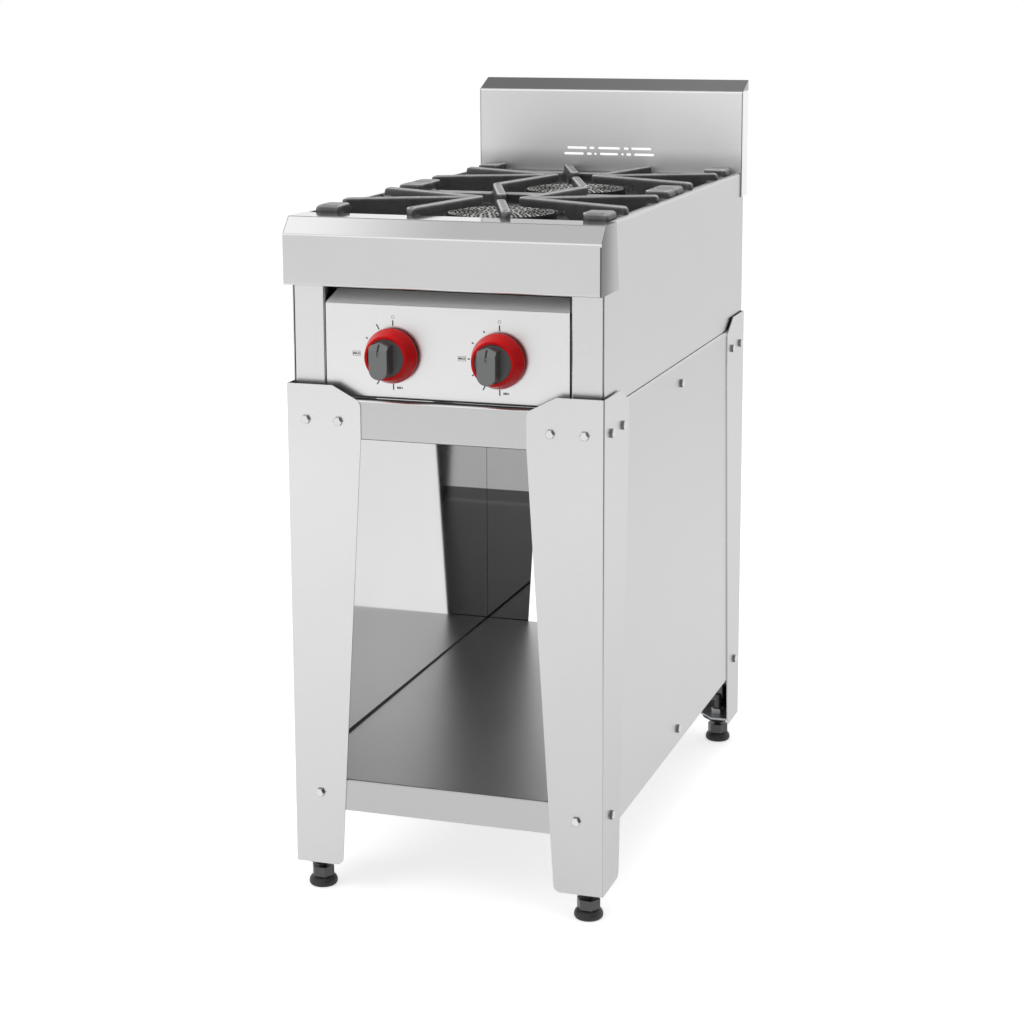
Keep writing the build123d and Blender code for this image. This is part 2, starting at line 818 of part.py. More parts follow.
def make_grate():
    """Cast grate about its own centre, its underside on z = 0."""
    height = grate_top - ledge_z
    inset = grate_bar / 2
    side_x = grate_width / 2 - inset
    end_y = grate_length / 2 - inset

    def bar(start, end):
        span = math.dist(start, end)
        angle = math.degrees(math.atan2(end[1] - start[1], end[0] - start[0]))
        middle = Pos((start[0] + end[0]) / 2, (start[1] + end[1]) / 2)
        return middle * Rot(0, 0, angle) * SlotCenterToCenter(span, grate_bar)

    bars = [
        ((-apex_reach, 0), (-side_x, -front_leg_y)),
        ((-apex_reach, 0), (-side_x, rear_leg_y)),
        ((-apex_reach, 0), (-arm_foot_x, -end_y)),
        ((free_tip_x, -free_tip_y), (free_foot_x, -end_y)),
    ]
    outline = Sketch()
    for turn in (1, -1):
        for start, end in bars:
            outline += bar([turn * v for v in start], [turn * v for v in end])
    fingers = extrude(outline, amount=height)
    fingers = fillet(fingers.edges().group_by(Axis.Z)[-1], finger_round)
    arch = Cone(arch_outer, arch_inner, grate_frame_height)
    fingers -= Pos(0, 0, grate_frame_height / 2) * arch

    rim = RectangleRounded(grate_width, grate_length, grate_corner)
    rim -= RectangleRounded(grate_width - 2 * grate_bar, grate_length - 2 * grate_bar, grate_corner / 2)
    grate = fingers + extrude(rim, amount=grate_frame_height)
    pad = extrude(RectangleRounded(pad_width, pad_length, grate_corner), amount=height)
    pad = fillet(pad.edges().group_by(Axis.Z)[-1], finger_round)
    for side in (-1, 1):
        for end in (-1, 1):
            x = side * (grate_width - pad_width) / 2
            y = end * (grate_length - pad_length) / 2
            grate += Pos(x, y, 0) * pad
    envelope = extrude(RectangleRounded(grate_width, grate_length, grate_corner), amount=height)
    envelope = fillet(envelope.edges().group_by(Axis.Z)[-1], grate_edge_round)
    return grate & envelope


def make_splash_front():
    """Front sheet of the backsplash, with its sloped top, side returns and vent slots."""
    section = [(splash_back, splash_top), (splash_y, splash_fold), (splash_y, rim_z)]
    outline = sheet_outline(section, apron_sheet, apron_bend)
    sheet = extruded(outline, "x", -splash_half, splash_half)
    behind = (splash_back, splash_back + 2 * apron_sheet)
    sheet -= box((-width, width), behind, (splash_top - 2 * apron_sheet, splash_top + apron_sheet))
    side = [
        (splash_y, splash_bottom),
        (splash_back, splash_bottom),
        (splash_back, splash_top),
        (splash_y, splash_fold),
    ]
    plate = FilletPolyline(*side, radius=[0, 0, 0, apron_bend + apron_sheet], close=True)
    for start in (-splash_half, splash_half - apron_sheet):
        sheet += extruded(plate, "x", start, start + apron_sheet)
    tongue_z = (rim_z - splash_tongue, rim_z)
    sheet += box((-well_half, well_half), (splash_y, splash_y + apron_sheet), tongue_z)

    def slot(x, z, length):
        outline = SlotOverall(length, slot_height)
        placed = Plane(origin=(x, splash_y, z), x_dir=(1, 0, 0), z_dir=(0, -1, 0)) * outline
        return extrude(placed, amount=2 * apron_sheet, both=True)

    rows = (
        (rim_z + upper_slot_rise, upper_middle_slot, upper_slots),
        (rim_z + lower_slot_rise, lower_middle_slot, lower_slots),
    )
    for z, middle, pairs in rows:
        sheet -= slot(0, z, middle)
        for x, length in pairs:
            sheet -= [slot(-x, z, length), slot(x, z, length)]
    return sheet


def make_splash_back():
    """Rear cover of the backsplash, closed below, with the window behind the vent slots."""
    half = splash_half - apron_sheet
    top = splash_top - splash_cover_drop
    section = [(body_rear, splash_bottom), (splash_back, splash_bottom), (splash_back, top)]
    cover = extruded(sheet_outline(section, panel_sheet, bend_inside), "x", -half, half)
    middle = Pos(0, splash_back, rim_z + vent_window_rise) * Rot(90, 0, 0)
    window = RectangleRounded(vent_window_width, vent_window_height, vent_window_corner)
    return cover - extrude(middle * window, amount=2 * panel_sheet, both=True)


def make_burner(row):
    """Burner casting: cup, mixing tube with its bell, and the yoke that holds the injector."""
    y = burner_rows[row]
    bell_y = y - mixing_length
    axis = (0, mixing_z)
    cup = rod(cup_radius, "z", (0, y), cup_bottom, cup_top)
    tube = rod(mixing_radius, "y", axis, bell_y, y - cup_radius / 2)
    bell = Pos(0, bell_y + bell_length / 2, mixing_z) * Rot(90, 0, 0)
    casting = cup + tube + bell * Cone(mixing_radius, bell_radius, bell_length)
    yoke_y = bell_y - yoke_length
    arm_x = bell_radius - yoke_plate / 2
    for side in (-1, 1):
        arm = sorted((side * (arm_x - yoke_plate / 2), side * (arm_x + yoke_plate / 2)))
        z = (mixing_z - yoke_arm_width / 2, mixing_z + yoke_arm_width / 2)
        casting += box(arm, (yoke_y - yoke_plate, bell_y + bell_length / 2), z)
    casting += rod(bell_radius, "y", axis, yoke_y - yoke_plate, yoke_y)
    casting -= rod(cup_radius - cup_wall, "z", (0, y), cup_bottom + cup_wall, cup_top + overcut)
    casting -= rod(mixing_bore, "y", axis, bell_y - overcut, y - cup_radius / 2)
    flare = Cone(mixing_bore, bell_radius - bell_wall, bell_length)
    casting -= Pos(0, bell_y + bell_length / 2 - hair, mixing_z) * Rot(90, 0, 0) * flare
    hole_y = (yoke_y - yoke_plate - overcut, yoke_y + overcut)
    casting -= rod(injector_radius + pipe_gap, "y", axis, *hole_y)
    return casting


def make_injector(row):
    """Injector in the yoke: hexagon, threaded shank, nose and jet bore."""
    seat = burner_rows[row] - mixing_length - yoke_length - yoke_plate
    body = Pos(0, seat, mixing_z) * headings["front"] * hexagon(injector_flats, injector_hex)
    nose = seat + yoke_plate + injector_nose
    body += rod(injector_radius, "y", (0, mixing_z), seat, nose)
    jet_y = (seat - injector_hex - overcut, nose + overcut)
    return body - rod(injector_bore, "y", (0, mixing_z), *jet_y)


def make_burner_head(row):
    """Burner head: a hollow round casting with drilled ports and a spigot in the cup."""
    spigot = cup_radius - cup_wall - spigot_gap
    mouth = spigot - spigot_wall
    roof = head_height - head_wall
    inner = head_radius - head_rim
    profile = [
        (mouth, -spigot_depth),
        (spigot, -spigot_depth),
        (spigot, 0),
        (head_radius, 0),
        (head_radius, head_height),
        (0, head_height),
        (0, roof),
        (inner, roof),
        (inner, head_wall),
        (mouth, head_wall),
    ]
    radii = [0, 0, 0, head_round / 2, head_round, 0, 0, head_round, head_round, 0]
    outline = FilletPolyline(*profile, radius=radii, close=True)
    head = revolve(Plane.XZ * make_face(outline), Axis.Z)
    ports = []
    for step in range(port_ring_count):
        ring = port_ring_radius - step * port_ring_step
        count = round(2 * math.pi * ring / port_pitch)
        for index in range(count):
            angle = 2 * math.pi * index / count
            centre = (ring * math.cos(angle), ring * math.sin(angle))
            ports.append(rod(port_radius, "z", centre, roof - overcut, head_height + overcut))
    return Pos(0, burner_rows[row], cup_top) * (head - ports)


def make_bridge(row):
    """Channel across the body that carries one burner."""
    y = burner_rows[row]
    near = y - bridge_width / 2
    far = y + bridge_width / 2
    low = cup_bottom - bridge_drop
    section = [(far, low), (far, cup_bottom), (near, cup_bottom), (near, low)]
    return extruded(sheet_outline(section, panel_sheet, bend_inside), "x", -body_inner, body_inner)


def make_manifold():
    """Gas manifold: across behind the valves, then back along the right side to the inlet."""
    inlet_start = body_rear - panel_sheet - inlet_collar_length + inlet_socket
    points = [
        (-manifold_left, manifold_y, manifold_z),
        (manifold_side, manifold_y, manifold_z),
        (manifold_side, inlet_start, manifold_z),
    ]
    tube = pipe(points, manifold_radius, manifold_bore, manifold_bend)
    axis = (manifold_y, manifold_z)
    cap = rod(manifold_cap_radius, "x", axis, -manifold_left - manifold_cap_length, -manifold_left)
    for side in (-1, 1):
        centre = (side * knob_spacing / 2, manifold_y)
        tube -= rod(passage_radius, "z", centre, manifold_z, manifold_z + manifold_radius + overcut)
    return tube + cap


def make_saddles():
    """Two blocks on the bottom shield that the manifold lies in."""
    saddles = []
    y = (manifold_y - saddle_thickness / 2, manifold_y + saddle_thickness / 2)
    for side in (-1, 1):
        middle = side * saddle_spacing / 2
        x = (middle - saddle_width / 2, middle + saddle_width / 2)
        block = box(x, y, (shield_top, manifold_z))
        groove = rod(manifold_radius, "x", (manifold_y, manifold_z), x[0] - overcut, x[1] + overcut)
        saddles.append(block - groove)
    return Compound(children=saddles)


def make_inlet():
    """Inlet fitting through the rear panel: socket inside, flange and pipe thread outside."""
    centre = (manifold_side, manifold_z)
    wall = body_rear - panel_sheet
    start = wall - inlet_collar_length
    end = body_rear + inlet_flange_height + inlet_thread_length
    fitting = rod(inlet_collar_radius, "y", centre, start, wall)
    fitting += rod(inlet_thread_radius, "y", centre, wall, end)
    fitting += rod(inlet_flange_radius, "y", centre, body_rear, body_rear + inlet_flange_height)
    fitting -= rod(inlet_bore, "y", centre, start - overcut, end + overcut)
    return fitting - rod(manifold_radius + pipe_gap, "y", centre, start - overcut, start + inlet_socket)


def on_valve_axis(side, part):
    """A piece modelled outward from the panel's front face, placed on one valve's axis."""
    return Pos(side * knob_spacing / 2, body_front, knob_z) * headings["front"] * part


def make_valve():
    """Valve body on its axis: spring chamber, plug bore, manifold boss and outlet."""
    front = -bonnet_front - bonnet_thickness
    back = front - valve_length
    chamber = front - chamber_depth
    plug = chamber - plug_depth
    outlet = back - outlet_length
    body = rod(valve_radius, "z", (0, 0), back, front)
    body += rod(valve_boss_radius, "z", (0, 0), outlet, back)
    boss = rod(valve_boss_radius, "y", (0, -manifold_behind), -manifold_below, 0)
    body += boss
    body -= rod(manifold_radius, "x", (-manifold_below, -manifold_behind), -valve_radius, valve_radius)
    body -= rod(chamber_radius, "z", (0, 0), chamber, front + overcut)
    body -= rod(stem_radius + stem_gap, "z", (0, 0), plug, front)
    body -= rod(passage_radius, "z", (0, 0), outlet - overcut, plug)
    body -= rod(pipe_radius + pipe_gap, "z", (0, 0), outlet - overcut, outlet + outlet_socket)
    return body - rod(passage_radius, "y", (0, -manifold_behind), -manifold_below, 0)


def make_bonnet():
    """Round plate that closes the valve's spring chamber."""
    back = -bonnet_front - bonnet_thickness
    plate = rod(valve_radius, "z", (0, 0), back, -bonnet_front)
    return plate - rod(stem_radius + stem_gap, "z", (0, 0), back - overcut, 0)


def make_stem():
    """Valve stem with the shoulder behind the bonnet and the flat for the knob."""
    shoulder = -bonnet_front - bonnet_thickness - shoulder_gap
    stem = rod(stem_radius, "z", (0, 0), -stem_tail, stem_front)
    stem += rod(stem_shoulder_radius, "z", (0, 0), shoulder - stem_shoulder_length, shoulder)
    flat = stem_radius - stem_flat_depth
    flat_z = (stem_front - stem_flat_length, stem_front)
    return stem - box((-stem_radius, stem_radius), (flat, stem_radius), flat_z)


def make_stem_collar():
    """Thrust collar that the return spring pushes against the stem's shoulder."""
    front = -bonnet_front - bonnet_thickness - 2 * shoulder_gap - stem_shoulder_length
    back = front - collar_thickness
    ring = rod(chamber_radius - stem_gap, "z", (0, 0), back, front)
    return ring - rod(stem_radius + stem_gap, "z", (0, 0), back - overcut, front + overcut)


def helix_arcs(radius, pitch, turns):
    """Helix about Z as tangent arcs, two for each quarter turn."""
    def point(angle):
        return Vector(radius * math.cos(angle), radius * math.sin(angle), pitch * angle / (2 * math.pi))

    def tangent(angle):
        slope = pitch / (2 * math.pi)
        return Vector(-radius * math.sin(angle), radius * math.cos(angle), slope).normalized()

    arcs = []
    for quarter in range(4 * turns):
        start, end = quarter * math.pi / 2, (quarter + 1) * math.pi / 2
        chord = point(end) - point(start)
        ends = tangent(start) + tangent(end)
        spread = 2 * (1 - tangent(start).dot(tangent(end)))
        along = chord.dot(ends)
        length = (math.sqrt(along**2 + spread * chord.dot(chord)) - along) / spread
        first = point(start) + tangent(start) * length
        second = point(end) - tangent(end) * length
        joint = (first + second) * 0.5
        arcs.append(TangentArc(point(start), joint, tangent=tangent(start)))
        arcs.append(TangentArc(joint, point(end), tangent=second - first))
    return Wire([arc.edge() for arc in arcs])


def make_spring():
    """Return spring round the stem, seated on the floor of the valve's chamber."""
    path = helix_arcs(spring_radius, spring_pitch, spring_turns)
    section = Plane(origin=path @ 0, z_dir=path % 0) * Circle(spring_wire)
    coil = sweep(section, path=path)
    floor = -bonnet_front - bonnet_thickness - chamber_depth
    return Pos(0, 0, floor + spring_wire + stem_gap) * coil


def make_supply_pipe(row):
    """Supply pipe from one valve's outlet to one burner's injector."""
    side = -1 if row == "front" else 1
    x = side * knob_spacing / 2
    end_y = burner_rows[row] - injector_back
    turn_y = end_y - pipe_approach
    points = [(x, pipe_start_y, knob_z), (x, riser_y, knob_z)]
    if row == "front":
        points += [(x, riser_y, mixing_z)]
    else:
        points += [(pipe_side, riser_y, knob_z), (pipe_side, riser_y, mixing_z)]
        points += [(pipe_side, turn_y, mixing_z)]
    points += [(0, turn_y, mixing_z), (0, end_y, mixing_z)]
    return pipe(points, pipe_radius, pipe_bore, pipe_bend)


def make_knob_skirt():
    """Red conical skirt of a knob, open in front for the grip's disc."""
    inner_back = skirt_radius - skirt_wall
    inner_front = skirt_front_radius - skirt_wall / 2
    wall_back = skirt_front - skirt_wall
    profile = [
        (inner_back, skirt_back),
        (skirt_radius, skirt_back),
        (skirt_radius, skirt_back + skirt_edge),
        (skirt_front_radius, skirt_front),
        (skirt_opening, skirt_front),
        (skirt_opening, wall_back),
        (inner_front, wall_back),
    ]
    radii = [0, skirt_back_round, skirt_edge_round, skirt_front_round, skirt_opening_round, 0, 0]
    outline = FilletPolyline(*profile, radius=radii, close=True)
    return revolve(Plane.XZ * make_face(outline), Axis.Z)


def make_knob_grip():
    """Grip of a knob: disc behind the skirt's opening, bar in front, hub on the stem."""
    flange_front = skirt_front - skirt_wall
    grip = rod(disc_flange_radius, "z", (0, 0), flange_front - disc_flange, flange_front)
    grip += rod(disc_radius, "z", (0, 0), flange_front - disc_flange, disc_front)
    half = grip_width / 2
    low = -grip_length / 2
    high = grip_length / 2
    shoulder = high - grip_point
    outline = [(-half, low), (half, low), (half, shoulder), (0, high), (-half, shoulder)]
    ends = [grip_end_round, grip_end_round]
    radii = [*ends, grip_shoulder_round, grip_point_round, grip_shoulder_round]
    face = make_face(FilletPolyline(*outline, radius=radii, close=True))
    back = disc_front - grip_back_blend
    bar = Pos(0, 0, back) * extrude(face, amount=knob_reach - back)
    slope = [
        (high - grip_slope_length, knob_reach),
        (high + overcut, knob_reach - grip_slope_drop),
        (high + overcut, knob_reach + overcut),
        (high - grip_slope_length, knob_reach + overcut),
    ]
    bar -= extruded(Polyline(*slope, close=True), "x", -grip_width, grip_width)
    bar = fillet(bar.faces().sort_by(Axis.Z)[-1].edges(), grip_round)
    notch_end = high - grip_slope_length
    notch_x = (-notch_width / 2, notch_width / 2)
    notch_z = (knob_reach - notch_depth, knob_reach + overcut)
    bar -= box(notch_x, (notch_end - notch_length, notch_end), notch_z)
    grip += bar
    grip += rod(hub_radius, "z", (0, 0), hub_back, flange_front)
    bore = rod(stem_radius + stem_gap, "z", (0, 0), hub_back - overcut, stem_front + stem_gap)
    flat = stem_radius + stem_gap - stem_flat_depth
    key_z = (stem_front - stem_flat_length + stem_gap, stem_front + overcut)
    beyond = stem_radius + overcut
    bore -= box((-beyond, beyond), (flat, beyond), key_z)
    return grip - bore


def build_stand():
    """Nodes of the stand and its feet."""
    places = frame_bolts()
    nodes = {}
    for name, leg in corner_places(make_leg()).items():
        nodes[f"leg_{name}"] = drilled(leg, places, bolt_hole_radius)
    nodes["foot_plates"] = Compound(children=list(corner_places(make_foot_plate()).values()))
    nodes["foot_caps"] = Compound(children=list(corner_places(make_foot_cap()).values()))
    for name, pad in corner_places(make_foot_pad()).items():
        nodes[f"foot_pad_{name}"] = pad
    for name, spindle in corner_places(make_foot_spindle()).items():
        nodes[f"foot_spindle_{name}"] = spindle
    for side, panel in both_sides(make_lower_panel()).items():
        nodes[f"lower_panel_{side}"] = drilled(panel, places, bolt_hole_radius)
    for side, rail in both_sides(make_rail()).items():
        nodes[f"side_rail_{side}"] = drilled(rail, places, bolt_hole_radius)
    beam = make_beam()
    nodes["front_beam"] = drilled(beam, places, bolt_hole_radius)
    nodes["rear_beam"] = drilled(mirror(beam, about=stand_middle), places, bolt_hole_radius)
    nodes["shelf"] = drilled(make_shelf(), places, bolt_hole_radius)
    nodes["stand_bolts"], nodes["stand_nuts"] = make_fasteners()
    return nodes


def build_body():
    """Nodes of the cooker body, its backsplash and the grates."""
    places = frame_bolts()
    screws = rear_screws()
    nodes = {}
    for side, panel in both_sides(make_body_side()).items():
        panel = drilled(panel, places, bolt_hole_radius)
        nodes[f"body_side_{side}"] = drilled(panel, screws, screw_hole_radius)
    for side, post in both_sides(make_post()).items():
        nodes[f"front_post_{side}"] = post
    nodes["rear_panel"] = drilled(make_rear_panel(), screws, screw_hole_radius)
    nodes["rear_panel_screws"] = make_screws()
    nodes["bottom_shield"] = drilled(make_shield(), places, bolt_hole_radius)
    nodes["control_panel"] = make_control_panel()
    nodes["apron"] = make_apron()
    nodes["cooktop_well"] = make_deck()
    nodes["backsplash_front"] = make_splash_front()
    nodes["backsplash_back"] = make_splash_back()
    grate = make_grate()
    for row, y in burner_rows.items():
        nodes[f"grate_{row}"] = Pos(0, y, ledge_z) * grate
    return nodes


def build_gas_train():
    """Nodes of the burners, valves, pipes and knobs."""
    nodes = {}
    for row in burner_rows:
        nodes[f"burner_{row}"] = make_burner(row)
        nodes[f"burner_head_{row}"] = make_burner_head(row)
        nodes[f"supply_pipe_{row}"] = make_supply_pipe(row)
    nodes["injectors"] = Compound(children=[make_injector(row) for row in burner_rows])
    nodes["burner_bridges"] = Compound(children=[make_bridge(row) for row in burner_rows])
    nodes["gas_manifold"] = make_manifold()
    nodes["manifold_saddles"] = make_saddles()
    nodes["gas_inlet"] = make_inlet()
    sides = {"left": -1, "right": 1}
    for name, side in sides.items():
        nodes[f"gas_valve_{name}"] = on_valve_axis(side, make_valve())
        nodes[f"valve_stem_{name}"] = on_valve_axis(side, make_stem())
        nodes[f"stem_collar_{name}"] = on_valve_axis(side, make_stem_collar())
        nodes[f"knob_skirt_{name}"] = on_valve_axis(side, make_knob_skirt())
        nodes[f"knob_grip_{name}"] = on_valve_axis(side, make_knob_grip())
    bonnet = make_bonnet()
    spring = make_spring()
    nodes["valve_bonnets"] = Compound(children=[on_valve_axis(side, bonnet) for side in sides.values()])
    nodes["valve_springs"] = Compound(children=[on_valve_axis(side, spring) for side in sides.values()])
    return nodes


def main():
    """Build every node and write one STEP file for each."""
    os.makedirs("parts", exist_ok=True)
    nodes = {**build_stand(), **build_body(), **build_gas_train()}
    for name, shape in nodes.items():
        export_step(shape, f"parts/{name}.step")
    print(len(nodes), "nodes")


main()
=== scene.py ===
"""Two-burner gas cooktop on an open stand: finishes, small details, studio and camera."""

from __future__ import annotations

import json
import logging
import math
from dataclasses import dataclass, field
from enum import Enum
from typing import Any, Iterable, Optional, Sequence

import bmesh
import bpy
import numpy as np
from mathutils import Matrix, Quaternion, Vector

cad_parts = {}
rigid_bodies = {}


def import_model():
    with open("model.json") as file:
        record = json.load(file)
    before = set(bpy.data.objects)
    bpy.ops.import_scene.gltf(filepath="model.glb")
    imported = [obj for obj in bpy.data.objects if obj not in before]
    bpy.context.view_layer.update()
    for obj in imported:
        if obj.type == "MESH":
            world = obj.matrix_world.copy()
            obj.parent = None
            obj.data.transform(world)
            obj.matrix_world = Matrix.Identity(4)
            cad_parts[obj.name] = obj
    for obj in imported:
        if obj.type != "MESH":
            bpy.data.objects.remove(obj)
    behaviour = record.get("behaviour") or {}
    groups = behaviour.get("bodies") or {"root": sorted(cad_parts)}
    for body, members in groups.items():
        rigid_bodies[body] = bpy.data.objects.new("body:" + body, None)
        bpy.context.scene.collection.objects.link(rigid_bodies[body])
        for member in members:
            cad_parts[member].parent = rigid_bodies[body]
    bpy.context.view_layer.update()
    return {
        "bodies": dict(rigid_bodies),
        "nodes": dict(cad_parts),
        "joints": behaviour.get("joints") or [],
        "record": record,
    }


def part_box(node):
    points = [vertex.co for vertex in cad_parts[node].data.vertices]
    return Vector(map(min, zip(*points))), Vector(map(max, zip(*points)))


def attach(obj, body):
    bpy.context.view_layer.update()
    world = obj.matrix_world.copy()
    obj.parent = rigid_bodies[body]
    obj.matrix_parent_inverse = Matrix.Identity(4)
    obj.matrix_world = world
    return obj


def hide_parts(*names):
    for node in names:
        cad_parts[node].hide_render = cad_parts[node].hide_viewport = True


LOG = logging.getLogger("cooktop")
MM = 0.001
HAIR = 0.05 * MM
SHEET = 1.5 * MM
FAR_AWAY = 10.0
FULL_TURN = 2.0 * math.pi
TURN_STEPS = 48
ARC_STEPS = 8
ROWS = ("front", "rear")

Pair = tuple[float, float]
Triple = tuple[float, float, float]
Band = tuple[str, float, float]
Socket = bpy.types.NodeSocket

ALL_OVER: Band = ("Z", 0.0, 1.0)
WHITE = (1.0, 1.0, 1.0, 1.0)


class Slot(Enum):
    """Names of the record's material slots."""

    STAINLESS = "stainless"
    WELL = "stainless_well"
    GALVANISED = "galvanised"
    FASTENER = "fastener_steel"
    FOOT_STEEL = "foot_stainless"
    FOOT_PLASTIC = "foot_plastic"
    CAST_IRON = "cast_iron"
    BURNER_IRON = "burner_iron"
    BRASS = "brass"
    STEM = "stem_steel"
    PIPE = "pipe_steel"
    KNOB_RED = "knob_red"
    KNOB_GREY = "knob_grey"


class Side(Enum):
    """The two sides of the cooker, as seen from the knobs."""

    LEFT = -1
    RIGHT = 1

    @property
    def label(self) -> str:
        """Name of the side in node and body names."""
        return self.name.lower()


class Graph:
    """Short way to add and join nodes in a node tree."""

    def __init__(self, tree: bpy.types.NodeTree) -> None:
        """Keep the tree that the nodes go into."""
        self.tree = tree

    def feed(self, node: bpy.types.Node, inputs: dict[Any, Any]) -> None:
        """Set or join inputs of a node.

        Args:
            node: the node.
            inputs: input name or index, with a value or the socket to join to it.
        """
        for name, value in inputs.items():
            if isinstance(value, Socket):
                self.tree.links.new(value, node.inputs[name])
            else:
                node.inputs[name].default_value = value

    def add(self, kind: str, inputs: Optional[dict[Any, Any]] = None, **settings: Any) -> bpy.types.Node:
        """Add one node, set its properties, and set or join its inputs.

        Args:
            kind: node type, such as ShaderNodeTexNoise.
            inputs: input name or index, with a value or a socket.
            settings: properties of the node.

        Returns:
            The new node.
        """
        node = self.tree.nodes.new(kind)
        for name, value in settings.items():
            setattr(node, name, value)
        self.feed(node, inputs or {})
        return node

    def maths(self, operation: str, *values: Any) -> Socket:
        """Add a Math node on numbers or sockets."""
        return self.add("ShaderNodeMath", dict(enumerate(values)), operation=operation).outputs[0]

    def product(self, first: Any, *others: Any) -> Any:
        """Multiply numbers or sockets in order.

        Args:
            first: first factor.
            others: the other factors.

        Returns:
            The product, or the first factor if it is the only one.
        """
        for value in others:
            first = self.maths("MULTIPLY", first, value)
        return first

    def mix(self, factor: Any, low: Any, high: Any) -> Socket:
        """Blend two numbers or sockets by a factor."""
        return self.add("ShaderNodeMix", {"Factor": factor, "A": low, "B": high}).outputs[0]

    def wander(self, pattern: Any, middle: float, spread: float) -> Socket:
        """Value that wanders about a middle one with a pattern whose mean is 1."""
        return self.maths("MULTIPLY_ADD", pattern, spread, middle - spread)

    def ramp(self, value: Any, low: float, high: float, start: float = 0.0, end: float = 1.0) -> Socket:
        """Smoothly map a value from one range to another.

        Args:
            value: socket to map.
            low: value that gives start.
            high: value that gives end.
            start: result at low.
            end: result at high.

        Returns:
            The mapped socket.
        """
        inputs = {"Value": value, "From Min": low, "From Max": high, "To Min": start, "To Max": end}
        return self.add("ShaderNodeMapRange", inputs, interpolation_type="SMOOTHSTEP").outputs["Result"]

    def noise(self, vector: Any, scale: float, detail: float = 2.0, roughness: float = 0.5) -> Socket:
        """Add a noise texture with so many cells per metre, octaves and strength of the finer ones."""
        inputs = {"Vector": vector, "Scale": scale, "Detail": detail, "Roughness": roughness}
        return self.add("ShaderNodeTexNoise", inputs).outputs[0]

    def coordinates(self) -> Socket:
        """Object coordinates, which are metres in the shared frame."""
        return self.add("ShaderNodeTexCoord").outputs["Object"]

    def axes(self, vector: Any) -> dict[str, Socket]:
        """Split a vector into a socket for each axis letter."""
        split = self.add("ShaderNodeSeparateXYZ", {"Vector": vector})
        return {axis: split.outputs[axis] for axis in "XYZ"}

    def normal(self) -> dict[str, Socket]:
        """The way the surface faces in the world, by axis letter."""
        return self.axes(self.add("ShaderNodeNewGeometry").outputs["Normal"])


@dataclass(frozen=True)
class Finish:
    """A surface finish with a procedural material.

    Attributes:
        name: name of the material.
        colour: base colour, linear.
        metallic: 1 for bare metal.
        roughness: mean roughness.
        roughness_spread: how far the roughness wanders.
        tone_spread: how far the colour's brightness wanders.
        grain: stretch of the fine pattern on each axis.
        grain_scale: cells of the fine pattern per metre.
        cloud_scale: cells of the broad pattern per metre.
        bump: height of the fine pattern, in metres.
        specular: specular level.
    """

    name: str
    colour: Triple
    metallic: float = 0.0
    roughness: float = 0.5
    roughness_spread: float = 0.05
    tone_spread: float = 0.05
    grain: Triple = (1.0, 1.0, 1.0)
    grain_scale: float = 400.0
    cloud_scale: float = 9.0
    bump: float = 0.05 * MM
    specular: float = 0.5

    def gains(self, graph: Graph) -> list[Socket]:
        """Brightness factors on top of the pattern's, none on a plain finish."""
        return []

    def zoned(self, graph: Graph, name: str, value: Any) -> Any:
        """Value of the roughness or the metallic input, the same all over on a plain finish."""
        return value

    def build(self) -> bpy.types.Material:
        """Make the material.

        Returns:
            The material with its node tree.
        """
        material = bpy.data.materials.new(self.name)
        material.use_nodes = True
        graph = Graph(material.node_tree)
        stretched = graph.coordinates()
        if self.grain != (1.0, 1.0, 1.0):
            stretched = graph.add("ShaderNodeMapping", {"Vector": stretched, "Scale": self.grain}).outputs[0]
        grain = graph.noise(stretched, self.grain_scale, 3.0, 0.6)
        pattern = graph.maths("ADD", grain, graph.noise(graph.coordinates(), self.cloud_scale))
        tone = graph.product(graph.wander(pattern, 1.0, self.tone_spread), *self.gains(graph))
        shaded = graph.add("ShaderNodeVectorMath", {0: self.colour, "Scale": tone}, operation="SCALE")
        roughness = graph.wander(pattern, self.roughness, self.roughness_spread)
        bump = graph.add("ShaderNodeBump", {"Height": grain, "Strength": 1.0, "Distance": self.bump})
        inputs = {
            "Base Color": shaded.outputs["Vector"],
            "Metallic": self.zoned(graph, "metallic", self.metallic),
            "Roughness": self.zoned(graph, "roughness", roughness),
            "Specular IOR Level": self.specular,
            "Normal": bump.outputs["Normal"],
        }
        graph.feed(material.node_tree.nodes["Principled BSDF"], inputs)
        return material


@dataclass(frozen=True)
class Zone:
    """Part of a sheet with painted light or shade, or that is smoother or rougher than the rest.

    Attributes:
        limits: axis with its least and greatest coordinate, X as the distance from the middle plane.
        tones: painted light or shade, as a brightness factor at the two ends of the run.
        run: axis that the brightness changes along, with its two ends.
        roughness: roughness of the zone, or nothing to keep the sheet's.
        metallic: metallic value of the zone, or nothing to keep the sheet's.
    """

    limits: tuple[Band, ...]
    tones: Pair = (1.0, 1.0)
    run: Band = ALL_OVER
    roughness: Optional[float] = None
    metallic: Optional[float] = None

    def mask(self, graph: Graph) -> Socket:
        """Where the zone is.

        Args:
            graph: node tree of the material.

        Returns:
            Socket that is 1 in the zone and 0 outside.
        """
        axes = graph.axes(graph.coordinates())
        axes["X"] = graph.maths("ABSOLUTE", axes["X"])
        return graph.product(
            *(graph.maths("COMPARE", axes[axis], (low + high) / 2, (high - low) / 2) for axis, low, high in self.limits)
        )

    def tone(self, graph: Graph) -> Socket:
        """Painted light or shade along the run of the zone, as a brightness factor."""
        axis, low, high = self.run
        return graph.ramp(graph.axes(graph.coordinates())[axis], low, high, *self.tones)


